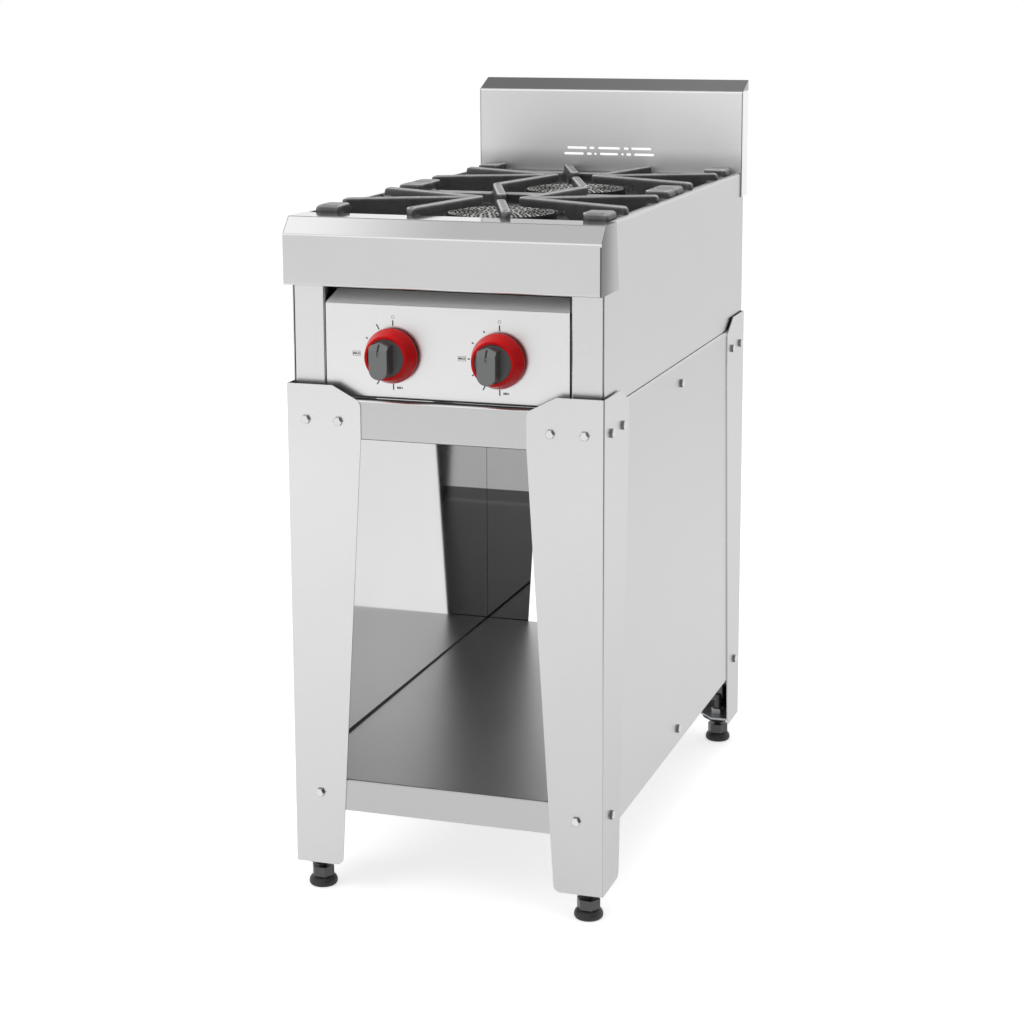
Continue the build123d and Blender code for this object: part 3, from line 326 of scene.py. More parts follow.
@dataclass(frozen=True)
class BrushedSheet(Finish):
    """Brushed stainless sheet with zones of painted light and shade, and of their own roughness and metallic value.

    Attributes:
        zones: the zones, the later ones over the earlier.
    """

    metallic: float = 1.0
    roughness: float = 0.3
    roughness_spread: float = 0.08
    tone_spread: float = 0.09
    grain: Triple = (0.04, 1.0, 1.0)
    grain_scale: float = 2600.0
    cloud_scale: float = 5.0
    bump: float = 0.002 * MM
    zones: tuple[Zone, ...] = ()

    def gains(self, graph: Graph) -> list[Socket]:
        """Painted light or shade of each zone, as a brightness factor, 1 outside it."""
        return [graph.mix(zone.mask(graph), 1.0, zone.tone(graph)) for zone in self.zones]

    def zoned(self, graph: Graph, name: str, value: Any) -> Any:
        """Value of a shader input, changed in the zones that give their own.

        Args:
            graph: node tree of the material.
            name: field of the zones, roughness or metallic.
            value: number or socket for the rest of the sheet.

        Returns:
            Socket or number.
        """
        for zone in self.zones:
            own = getattr(zone, name)
            if own is not None:
                value = graph.mix(zone.mask(graph), value, own)
        return value


@dataclass(frozen=True)
class CastIron(Finish):
    """Sand-cast iron with edges lightened as painted highlights, and faces that can be lightened upward and darkened
    upright as painted light and shade.

    Attributes:
        edge_gain: how much lighter the painted highlights make the edges.
        edges: pointiness at which an edge begins and is full.
        faces: brightness factor of the upright faces, as painted shade, and of the upper faces, as painted light.
        flats: upward part of the normal at which an upper face begins and is full.
    """

    metallic: float = 0.8
    roughness: float = 0.46
    roughness_spread: float = 0.10
    tone_spread: float = 0.25
    grain_scale: float = 700.0
    cloud_scale: float = 60.0
    bump: float = 0.2 * MM
    edge_gain: float = 0.8
    edges: Pair = (0.5, 0.56)
    faces: Pair = (1.0, 1.0)
    flats: Pair = (0.4, 0.9)

    def gains(self, graph: Graph) -> list[Socket]:
        """Painted highlights on the convex edges, and painted light and shade on the upper and upright faces."""
        pointiness = graph.add("ShaderNodeNewGeometry").outputs["Pointiness"]
        # painted highlight: the convex edges made lighter by their pointiness
        edge = graph.ramp(pointiness, *self.edges, 1.0, 1.0 + self.edge_gain)
        # painted light on the upper faces and painted shade on the upright ones
        return [edge, graph.ramp(graph.normal()["Z"], *self.flats, *self.faces)]


@dataclass(frozen=True)
class KnobEnamel(Finish):
    """Red enamel, with painted light on the upper left and painted shade on the right.

    Attributes:
        shades: brightness factor of the painted shade on the right and of the painted light on the upper left.
        lean: parts of the X and the Z of the normal that count.
        leans: sum at which the dark shade ends and the light one is full.
    """

    shades: Pair = (0.85, 1.5)
    lean: Pair = (-0.8, 0.6)
    leans: Pair = (-0.5, 0.7)

    def gains(self, graph: Graph) -> list[Socket]:
        """Painted light and shade set by the way the surface faces."""
        axes = graph.normal()
        lean = graph.maths("MULTIPLY_ADD", axes["Z"], self.lean[1], graph.product(axes["X"], self.lean[0]))
        # painted light and shade: brightness set by the way the surface faces
        return [graph.ramp(lean, *self.leans, *self.shades)]


@dataclass(frozen=True)
class GripPlastic(Finish):
    """Grey plastic of a knob's grip, with painted shade on its sides and painted light on its face and on the disc.

    Attributes:
        face: front of the grip, in metres.
        face_gain: brightness factor of the painted light on the front face.
        disc_gain: brightness factor of the painted light on the disc behind the bar.
        depths: distances behind the face at which the face ends and the disc begins.
        facing: forward part of the normal at which the face begins and is full.
    """

    face: float = 0.0
    face_gain: float = 6.0
    disc_gain: float = 3.6
    depths: Pair = (10.0 * MM, 20.0 * MM)
    facing: Pair = (0.55, 0.85)

    def gains(self, graph: Graph) -> list[Socket]:
        """Factor of the painted light on the face and the disc.

        Args:
            graph: node tree of the material.

        Returns:
            The one factor.
        """
        facing = graph.ramp(graph.product(graph.normal()["Y"], -1.0), *self.facing)
        depth = graph.maths("SUBTRACT", graph.axes(graph.coordinates())["Y"], self.face)
        # painted light on the front face and on the disc behind the bar
        face = graph.product(facing, graph.maths("LESS_THAN", depth, self.depths[0]), self.face_gain - 1.0)
        disc = graph.product(graph.maths("GREATER_THAN", depth, self.depths[1]), self.disc_gain - 1.0)
        return [graph.maths("ADD", graph.maths("ADD", face, disc), 1.0)]


def grey(level: float) -> Triple:
    """The same level of red, green and blue."""
    return (level, level, level)


FINISHES: dict[Slot, Finish] = {
    Slot.STAINLESS: BrushedSheet("brushed_stainless", grey(0.62)),
    Slot.WELL: BrushedSheet("pressed_well_steel", grey(0.66), roughness=0.22, grain=(1.0, 0.05, 1.0)),
    Slot.GALVANISED: Finish(
        "galvanised_sheet", (0.52, 0.53, 0.54), 1.0, 0.42, 0.12, 0.16, grain_scale=160.0, cloud_scale=55.0
    ),
    Slot.FASTENER: Finish("bolt_steel", grey(0.72), 1.0, 0.24, 0.06, 0.06, grain_scale=900.0, bump=0.01 * MM),
    Slot.FOOT_STEEL: Finish("foot_steel", grey(0.10), 0.9, 0.34, 0.08, 0.1, grain_scale=800.0),
    Slot.FOOT_PLASTIC: Finish("foot_plastic", (0.018, 0.018, 0.019), 0.0, 0.42, 0.08, 0.2, grain_scale=1400.0),
    # grate: painted highlights on the edges, painted light on the upper faces and painted shade on the upright ones
    Slot.CAST_IRON: CastIron(
        "grate_cast_iron", (0.27, 0.27, 0.275), tone_spread=0.45, edge_gain=1.6, faces=(0.36, 1.35)
    ),
    # burner: painted highlights on the edges
    Slot.BURNER_IRON: CastIron(
        "burner_cast_iron", grey(0.012), metallic=0.0, roughness=0.7, specular=0.2, edge_gain=0.6
    ),
    Slot.BRASS: Finish("turned_brass", (0.66, 0.47, 0.20), 1.0, 0.30, 0.08, 0.08, (1.0, 0.05, 1.0), 900.0),
    Slot.STEM: Finish("turned_stem_steel", (0.55, 0.55, 0.56), 1.0, 0.28, 0.06, 0.06, (1.0, 20.0, 1.0), 200.0),
    Slot.PIPE: Finish("pipe_steel", (0.58, 0.55, 0.50), 1.0, 0.35, 0.08, 0.10, grain_scale=300.0),
    Slot.KNOB_RED: KnobEnamel(
        "knob_red_enamel", (0.56, 0.006, 0.008), 0.0, 0.3, grain_scale=500.0, bump=0.02 * MM, specular=0.14
    ),
    Slot.KNOB_GREY: Finish(
        "knob_grey_plastic", (0.085, 0.088, 0.088), 0.0, 0.42, 0.05, 0.08, grain_scale=2200.0, bump=0.02 * MM
    ),
}
# dark hexagon flats: painted shade and dark reflection on the bolts' sides
BOLT_SHADED_FLATS = Finish("bolt_flats", grey(0.20), 1.0, 0.38, 0.08, 0.1, grain_scale=900.0, bump=0.01 * MM)
DIAL_INK = Finish("dial_ink", (0.014, 0.014, 0.015), 0.0, 0.5, 0.1, 0.2)
# near-black bead that stands in for the shadow in the gap between shelf and side panel: painted shadow
GAP_SHADOW = Finish("seal_bead", grey(0.012), 0.0, 0.55, 0.08, 0.2, grain_scale=300.0)
# light port rims: bare drilled metal, and partly painted glints on the port edges
PORT_RIM = Finish("port_rim", (0.72, 0.72, 0.70), 0.2, 0.45, 0.08, 0.2, grain_scale=900.0, bump=0.01 * MM)


@dataclass
class FinishShop:
    """Makes each material once and puts it on nodes and pieces."""

    made: dict[str, bpy.types.Material] = field(default_factory=dict)

    def material(self, finish: Finish) -> bpy.types.Material:
        """The material of a finish, made on first use.

        Args:
            finish: the finish.

        Returns:
            Its material.
        """
        if finish.name not in self.made:
            self.made[finish.name] = finish.build()
        return self.made[finish.name]

    def coat(self, piece: bpy.types.Object, finish: Finish) -> None:
        """Give a piece one finish."""
        piece.data.materials.clear()
        piece.data.materials.append(self.material(finish))

    def coat_nodes(self, frame: dict[str, Any], special: dict[str, Finish]) -> None:
        """Give every CAD node the finish of its slot, or its own.

        Args:
            special: finish by node name, where it differs from the slot's.
        """
        slots = {row["node"]: Slot(row["material_slot"]) for row in frame["record"]["subparts"]}
        for name, node in frame["nodes"].items():
            self.coat(node, special.get(name, FINISHES[slots[name]]))
        LOG.info("%d nodes coated in %d finishes", len(slots), len(self.made))


def new_object(name: str, data: Any) -> bpy.types.Object:
    """Link an object into the scene, at the origin.

    Args:
        name: name of the object.
        data: its mesh, curve, lamp or camera.

    Returns:
        The new object.
    """
    piece = bpy.data.objects.new(name, data)
    bpy.context.scene.collection.objects.link(piece)
    return piece


def meshed(name: str, bm: bmesh.types.BMesh, outward: bool = True) -> bpy.types.Object:
    """Turn a mesh in progress into a piece, and free it.

    Args:
        name: name of the piece.
        bm: the mesh in progress.
        outward: whether its faces are first turned outward.

    Returns:
        The piece.
    """
    if outward:
        bmesh.ops.recalc_face_normals(bm, faces=bm.faces)
    mesh = bpy.data.meshes.new(name)
    bm.to_mesh(mesh)
    bm.free()
    return new_object(name, mesh)


def shade_by_angle(mesh: bpy.types.Mesh, degrees: float = 35.0) -> None:
    """Shade a mesh smooth and keep the edges sharper than an angle."""
    mesh.shade_smooth()
    mesh.set_sharp_from_angle(angle=math.radians(degrees))


def plain_mesh(piece: bpy.types.Object) -> bpy.types.Mesh:
    """Copy of an object's mesh with its modifiers applied."""
    graph = bpy.context.evaluated_depsgraph_get()
    return bpy.data.meshes.new_from_object(piece.evaluated_get(graph), depsgraph=graph)


def apply_modifiers(piece: bpy.types.Object) -> None:
    """Put the result of a piece's modifiers in their place.

    Args:
        piece: object with live modifiers.
    """
    result, old = plain_mesh(piece), piece.data
    piece.modifiers.clear()
    piece.data = result
    bpy.data.meshes.remove(old)
    result.name = piece.name


@dataclass
class CameraView:
    """Camera at the photograph's angle.

    Attributes:
        place: position in metres.
        azimuth: turn to the right of the front, in degrees.
        elevation: angle above the horizon, in degrees.
        roll: turn about the line of sight, in degrees.
        lens: focal length in millimetres on the sensor.
        sensor: width of the sensor, in millimetres.
        shift: vertical shift of the picture.
        reach: farthest distance that shows, in metres.
    """

    place: Triple = (0.9093, -2.8592, 1.1394)
    azimuth: float = 18.216
    elevation: float = 10.933
    roll: float = -0.211
    lens: float = 80.39
    sensor: float = 36.0
    shift: float = -0.100
    reach: float = 100.0

    def build(self) -> None:
        """Place the camera and make it the scene's."""
        data = bpy.data.cameras.new("product_view")
        data.lens = self.lens
        data.sensor_width = self.sensor
        data.shift_y = self.shift
        data.clip_end = self.reach
        camera = new_object("product_view", data)
        turn, rise = math.radians(self.azimuth), math.radians(self.elevation)
        back = Vector((math.sin(turn) * math.cos(rise), -math.cos(turn) * math.cos(rise), math.sin(rise)))
        tilt = Quaternion((0.0, 0.0, 1.0), math.radians(self.roll))
        camera.rotation_mode = "QUATERNION"
        camera.rotation_quaternion = back.to_track_quat("Z", "Y") @ tilt
        camera.location = self.place
        bpy.context.scene.camera = camera


@dataclass(frozen=True)
class SoftBox:
    """A large soft lamp that doesn't show in reflections.

    Attributes:
        name: name of the lamp.
        place: position in metres.
        size: side lengths in metres.
        power: watts.
        aim: point that it faces.
    """

    name: str
    place: Triple
    size: Pair
    power: float
    aim: Triple = (0.0, 0.0, 0.5)

    def build(self) -> None:
        """Place the lamp."""
        data = bpy.data.lights.new(self.name, "AREA")
        data.shape = "RECTANGLE"
        data.size, data.size_y = self.size
        data.energy = self.power
        lamp = new_object(self.name, data)
        lamp.location = self.place
        lamp.rotation_mode = "QUATERNION"
        lamp.rotation_quaternion = (Vector(self.place) - Vector(self.aim)).to_track_quat("Z", "Y")
        lamp.visible_glossy = False


@dataclass
class Studio:
    """White studio: floor, surroundings and lamps.

    Attributes:
        floor_reach: half the floor's side, in metres.
        floor_tone: brightness of the floor's matt surface.
        ambient: strength of the surroundings on matt surfaces.
        floor_glow: light added to the floor where it is seen, so that it meets the backdrop.
        mirrored_glow: light added to the floor where it is mirrored.
        card: angles to the right of the front between which a dark card is mirrored, in degrees.
        card_reach: distances over which the card begins on the floor.
        card_top: heights over which the card ends, as a part of its distance.
        card_glow: light of the card where the floor mirrors it.
        dark_height: upward part of a direction at which the dark ceiling begins and is full.
        dark_depth: backward part of a direction at which the dark ceiling begins and is full.
        darkness: how much of the light the card and the dark ceiling take away.
        boxes: the lamps.
    """

    floor_reach: float = 14.0
    floor_tone: float = 0.8
    ambient: float = 0.55
    floor_glow: float = 0.62
    mirrored_glow: float = 0.42
    card: tuple[float, float, float, float] = (19.0, 27.0, 66.0, 92.0)
    card_reach: Pair = (1.4, 2.2)
    card_top: Pair = (0.45, 0.65)
    card_glow: float = 0.03
    dark_height: Pair = (0.62, 0.74)
    dark_depth: Pair = (-0.1, 0.25)
    darkness: float = 0.92
    boxes: tuple[SoftBox, ...] = (
        SoftBox("key_box", (-2.4, -2.8, 2.9), (2.6, 2.0), 40.0),
        SoftBox("top_box", (0.3, -0.2, 3.4), (2.4, 2.4), 20.0),
        SoftBox("right_box", (3.2, -1.6, 1.8), (2.0, 2.0), 10.0),
    )

    def card_mask(self, graph: Graph, vector: Any) -> Socket:
        """Where the dark card at the front and right is mirrored.

        Args:
            graph: node tree.
            vector: socket with a far place in a direction, or a place on the floor.

        Returns:
            Socket that is 1 on the card.
        """
        axes = graph.axes(vector)
        turn = graph.maths("ARCTAN2", axes["X"], graph.product(axes["Y"], -1.0))
        angles = [math.radians(angle) for angle in self.card]
        rising = graph.ramp(turn, *angles[:2])
        falling = graph.ramp(turn, *angles[2:], 1.0, 0.0)
        low = graph.ramp(axes["Z"], *(height * FAR_AWAY for height in self.card_top), 1.0, 0.0)
        reach = graph.add("ShaderNodeVectorMath", {0: vector}, operation="LENGTH").outputs["Value"]
        return graph.product(rising, falling, low, graph.ramp(reach, *self.card_reach))

    def floor(self) -> None:
        """Lay a pale floor that keeps a soft shadow."""
        reach = self.floor_reach
        mesh = bpy.data.meshes.new("studio_floor")
        corners = [(-reach, -reach, 0), (reach, -reach, 0), (reach, reach, 0), (-reach, reach, 0)]
        mesh.from_pydata(corners, [], [(0, 1, 2, 3)])
        material = bpy.data.materials.new("studio_floor")
        material.use_nodes = True
        material.node_tree.nodes.clear()
        graph = Graph(material.node_tree)
        path = graph.add("ShaderNodeLightPath").outputs
        mirrored = path["Is Glossy Ray"]
        seen = graph.maths("MAXIMUM", path["Is Camera Ray"], mirrored)
        seen = graph.maths("MAXIMUM", seen, path["Is Transmission Ray"])
        card = graph.product(self.card_mask(graph, graph.coordinates()), mirrored)
        strength = graph.mix(mirrored, self.floor_glow, self.mirrored_glow)
        matt = graph.add("ShaderNodeBsdfDiffuse", {"Color": (*grey(self.floor_tone), 1.0)}).outputs[0]
        glow = graph.add("ShaderNodeEmission", {"Color": WHITE, "Strength": strength}).outputs[0]
        both = graph.add("ShaderNodeAddShader", {0: matt, 1: glow}).outputs[0]
        shown = graph.add("ShaderNodeMixShader", {0: seen, 1: matt, 2: both}).outputs[0]
        shade = graph.add("ShaderNodeEmission", {"Color": WHITE, "Strength": self.card_glow}).outputs[0]
        carded = graph.add("ShaderNodeMixShader", {0: card, 1: shown, 2: shade}).outputs[0]
        graph.add("ShaderNodeOutputMaterial", {"Surface": carded})
        mesh.materials.append(material)
        new_object("studio_floor", mesh)

    def surroundings(self) -> None:
        """Set the world: white where it is seen or mirrored, softer where it lights matt surfaces."""
        world = bpy.data.worlds.new("studio")
        bpy.context.scene.world = world
        world.use_nodes = True
        world.node_tree.nodes.clear()
        graph = Graph(world.node_tree)
        direction = graph.add("ShaderNodeTexCoord").outputs["Generated"]
        axes = graph.axes(direction)
        ceiling = graph.product(graph.ramp(axes["Z"], *self.dark_height), graph.ramp(axes["Y"], *self.dark_depth))
        scaled = graph.add("ShaderNodeVectorMath", {0: direction, "Scale": FAR_AWAY}, operation="SCALE").outputs[0]
        dark = graph.maths("MAXIMUM", ceiling, self.card_mask(graph, scaled))
        mirrored = graph.maths("MULTIPLY_ADD", dark, -self.darkness, 1.0)
        path = graph.add("ShaderNodeLightPath").outputs
        glossy = graph.maths("MAXIMUM", path["Is Glossy Ray"], path["Is Transmission Ray"])
        seen = graph.mix(path["Is Camera Ray"], graph.mix(glossy, self.ambient, mirrored), 1.0)
        background = graph.add("ShaderNodeBackground", {"Color": WHITE, "Strength": seen})
        graph.add("ShaderNodeOutputWorld", {"Surface": background.outputs[0]})

    def build(self) -> None:
        """Build the floor, the surroundings and the lamps."""
        self.floor()
        self.surroundings()
        for box in self.boxes:
            box.build()
        bpy.context.scene.view_settings.view_transform = "Standard"


class InstanceTree:
    """Geometry Nodes tree that puts one shape on points, each with its own turn and size."""

    def __init__(self, name: str, sizes: Sequence[str]) -> None:
        """Start the tree with its inputs.

        Args:
            name: name of the tree.
            sizes: names of its size inputs.
        """
        self.tree = bpy.data.node_groups.new(name, "GeometryNodeTree")
        kinds = {"Points": "Geometry", "Finish": "Material", "Side Finish": "Material", **dict.fromkeys(sizes, "Float")}
        for label, kind in kinds.items():
            self.tree.interface.new_socket(label, in_out="INPUT", socket_type=f"NodeSocket{kind}")
        self.tree.interface.new_socket("Shapes", in_out="OUTPUT", socket_type="NodeSocketGeometry")
        self.graph = Graph(self.tree)
        self.inputs = self.tree.nodes.new("NodeGroupInput").outputs

    def moved(self, shape: Any, z: Any) -> Socket:
        """Lift a shape along Z by a number or a socket."""
        offset = self.graph.add("ShaderNodeCombineXYZ", {"Z": z}).outputs[0]
        return self.graph.add("GeometryNodeTransform", {"Geometry": shape, "Translation": offset}).outputs[0]

    def as_side(self, shape: Any) -> Socket:
        """Mark the faces of a shape for the side finish."""
        inputs = {"Geometry": shape, "Name": "side", "Value": True}
        settings = {"data_type": "BOOLEAN", "domain": "FACE"}
        return self.graph.add("GeometryNodeStoreNamedAttribute", inputs, **settings).outputs[0]

    def attribute(self, name: str, kind: str) -> Socket:
        """Read a named attribute of the points or faces."""
        return self.graph.add("GeometryNodeInputNamedAttribute", {"Name": name}, data_type=kind).outputs[0]

    def finish(self, *shapes: Socket) -> None:
        """Put the joined shapes on the points, realise them and give them the finishes.

        Args:
            shapes: geometry sockets of the shape's parts.
        """
        joined = self.graph.add("GeometryNodeJoinGeometry")
        for shape in shapes:
            self.tree.links.new(shape, joined.inputs[0])
        turn = self.attribute("turn", "QUATERNION")
        inputs = {"Points": self.inputs["Points"], "Instance": joined.outputs[0], "Rotation": turn}
        on_points = self.graph.add("GeometryNodeInstanceOnPoints", inputs)
        real = self.graph.add("GeometryNodeRealizeInstances", {0: on_points.outputs[0]})
        inputs = {"Geometry": real.outputs[0], "Material": self.inputs["Finish"]}
        coat = self.graph.add("GeometryNodeSetMaterial", inputs)
        marked = self.attribute("side", "BOOLEAN")
        inputs = {"Geometry": coat.outputs[0], "Selection": marked, "Material": self.inputs["Side Finish"]}
        side_coat = self.graph.add("GeometryNodeSetMaterial", inputs)
        self.graph.add("NodeGroupOutput", {0: side_coat.outputs[0]})

    def run(
        self, name: str, places: Iterable[Matrix], materials: Sequence[bpy.types.Material], sizes: dict[str, float]
    ) -> bpy.types.Object:
        """Run the tree on a set of places.

        Args:
            name: name of the piece.
            places: position and turn of each shape.
            materials: finish of the shapes, and of their marked sides.
            sizes: value of each size input.

        Returns:
            The piece as a plain mesh.
        """
        rows = list(places)
        points = bpy.data.meshes.new(name)
        points.from_pydata([row.to_translation() for row in rows], [], [])
        turns = points.attributes.new("turn", "QUATERNION", "POINT")
        turns.data.foreach_set("value", [part for row in rows for part in row.to_quaternion()])
        piece = new_object(name, points)
        modifier = piece.modifiers.new("shapes", "NODES")
        modifier.node_group = self.tree
        values = {"Finish": materials[0], "Side Finish": materials[-1], **sizes}
        for item in self.tree.interface.items_tree:
            if item.in_out == "INPUT" and item.name in values:
                modifier[item.identifier] = values[item.name]
        apply_modifiers(piece)
        shade_by_angle(piece.data)
        return piece


@dataclass(frozen=True)
class Landmarks:
    """Places of the CAD model that the details follow, in metres."""

    half_width: float
    leg_front: float
    leg_rear: float
    leg_top: float
    shelf_top: float
    shelf_middle: float
    shelf_front: float
    shelf_rear: float
    panel_inner: float
    shield_top: float
    control_face: float
    control_bottom: float
    control_top: float
    knob_height: float
    knob_offset: float
    grip_face: float
    apron_half: float
    apron_front: float
    apron_back: float
    rim: float

    @classmethod
    def measured(cls) -> Landmarks:
        """Measure the places on the CAD nodes.

        Returns:
            The places.
        """
        front_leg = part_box("leg_front_right")
        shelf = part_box("shelf")
        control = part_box("control_panel")
        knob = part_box("knob_skirt_right")
        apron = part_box("apron")
        return cls(
            half_width=front_leg[1].x,
            leg_front=front_leg[0].y,
            leg_rear=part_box("leg_rear_right")[1].y,
            leg_top=front_leg[1].z,
            shelf_top=shelf[1].z,
            shelf_middle=(shelf[0].z + shelf[1].z) / 2,
            shelf_front=shelf[0].y,
            shelf_rear=shelf[1].y,
            panel_inner=shelf[1].x,
            shield_top=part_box("bottom_shield")[1].z,
            control_face=control[0].y,
            control_bottom=control[0].z,
            control_top=control[1].z,
            knob_height=(knob[0].z + knob[1].z) / 2,
            knob_offset=(knob[0].x + knob[1].x) / 2,
            grip_face=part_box("knob_grip_right")[0].y,
            apron_half=apron[1].x,
            apron_front=apron[0].y,
            apron_back=apron[1].y,
            rim=apron[1].z,
        )


@dataclass
class Detail:
    """Sub-assembly with pieces of its own on the CAD model.

    Attributes:
        shop: maker of the materials.
        spots: places measured on the CAD model.
    """

    shop: FinishShop
    spots: Landmarks

    def build(self) -> list[bpy.types.Object]:
        """Make the pieces and join them to their bodies."""
        raise NotImplementedError


@dataclass
class StandBolts(Detail):
    """Hexagon bolts of the stand, with a chamfered head, a bright crown and flats darkened as painted shade.

    Attributes:
        flats: width of the head across its flats.
        head: height of the head.
        chamfer: height of the chamfer round the crown.
        chamfer_run: width of the chamfer for each unit of its height.
        shank_radius: radius of the shank.
        shank: length of the shank.
        below_top: distance of the upper bolts below the top of the legs.
        outer: distance of the outer bolts from the edge, on the front and side faces.
        inner: distance of the inner bolts from the edge, on the front and side faces.
        low: distance of the lower bolts from the edge, on the front and side faces.
        body_inset: distance of the upright bolts from the front and rear.
        body_edge: distance of the upright bolts from the lower side panel.
    """

    flats: float = 10.0 * MM
    head: float = 4.0 * MM
    chamfer: float = 1.0 * MM
    chamfer_run: float = 1.3
    shank_radius: float = 3.0 * MM
    shank: float = 14.0 * MM
    below_top: float = 43.5 * MM
    outer: Pair = (24.5 * MM, 28.0 * MM)
    inner: Pair = (66.5 * MM, 78.0 * MM)
    low: Pair = (34.0 * MM, 35.0 * MM)
    body_inset: float = 120.0 * MM
    body_edge: float = 9.5 * MM

    def places(self) -> list[Matrix]:
        """Seat and heading of each bolt, its axis along the local Z.

        Returns:
            One matrix for each bolt.
        """
        rows: list[Matrix] = []
        spots = self.spots
        upper, lower = spots.leg_top - self.below_top, spots.shelf_middle

        def seat(place: Triple, heading: Triple) -> None:
            """Add one seat."""
            turn = Vector(heading).to_track_quat("Z", "Y").to_matrix().to_4x4()
            rows.append(Matrix.Translation(place) @ turn)

        for side in Side:
            x = side.value
            for y, way in ((spots.leg_front, -1), (spots.leg_rear, 1)):
                for step, z in ((self.outer, upper), (self.inner, upper), (self.low, lower)):
                    seat((x * (spots.half_width - step[0]), y, z), (0, way, 0))
                    seat((x * spots.half_width, y - way * step[1], z), (x, 0, 0))
                edge = spots.half_width - SHEET - self.body_edge
                seat((x * edge, y - way * self.body_inset, spots.shield_top), (0, 0, 1))
            middle = (spots.leg_front + spots.leg_rear) / 2
            for z in (upper, lower):
                seat((x * (spots.half_width - SHEET), middle, z), (x, 0, 0))
        return rows

    def tree(self, sizes: Sequence[str]) -> InstanceTree:
        """Tree of one bolt: shank, hexagon head and chamfered crown.

        Args:
            sizes: names of the size inputs.

        Returns:
            The tree.
        """
        tree = InstanceTree("hexagon_bolt", sizes)
        graph = tree.graph
        radius, head, chamfer, shank_radius, shank = (tree.inputs[name] for name in sizes)
        side = graph.maths("SUBTRACT", head, chamfer)
        crown_radius = graph.maths("SUBTRACT", radius, graph.product(chamfer, self.chamfer_run))
        hexagon = {"Vertices": 6, "Radius": radius, "Depth": side}
        crown = {"Vertices": 6, "Radius Top": crown_radius, "Radius Bottom": radius, "Depth": chamfer}
        rod = {"Vertices": 16, "Radius": shank_radius, "Depth": shank}
        tree.finish(
            tree.as_side(
                tree.moved(graph.add("GeometryNodeMeshCylinder", hexagon).outputs["Mesh"], graph.product(side, 0.5))
            ),
            tree.moved(graph.add("GeometryNodeMeshCone", crown).outputs["Mesh"], side),
            tree.moved(graph.add("GeometryNodeMeshCylinder", rod).outputs["Mesh"], graph.product(shank, -0.5)),
        )
        return tree

    def build(self) -> list[bpy.types.Object]:
        """Make the bolts and put them in the CAD bolts' place.

        Returns:
            The one piece.
        """
        sizes = {
            "Head Radius": self.flats / math.sqrt(3.0),
            "Head Height": self.head,
            "Chamfer": self.chamfer,
            "Shank Radius": self.shank_radius,
            "Shank Length": self.shank,
        }
        materials = (self.shop.material(FINISHES[Slot.FASTENER]), self.shop.material(BOLT_SHADED_FLATS))
        piece = self.tree(tuple(sizes)).run("stand_bolt_set", self.places(), materials, sizes)
        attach(piece, "cooker")
        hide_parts("stand_bolts")
        return [piece]


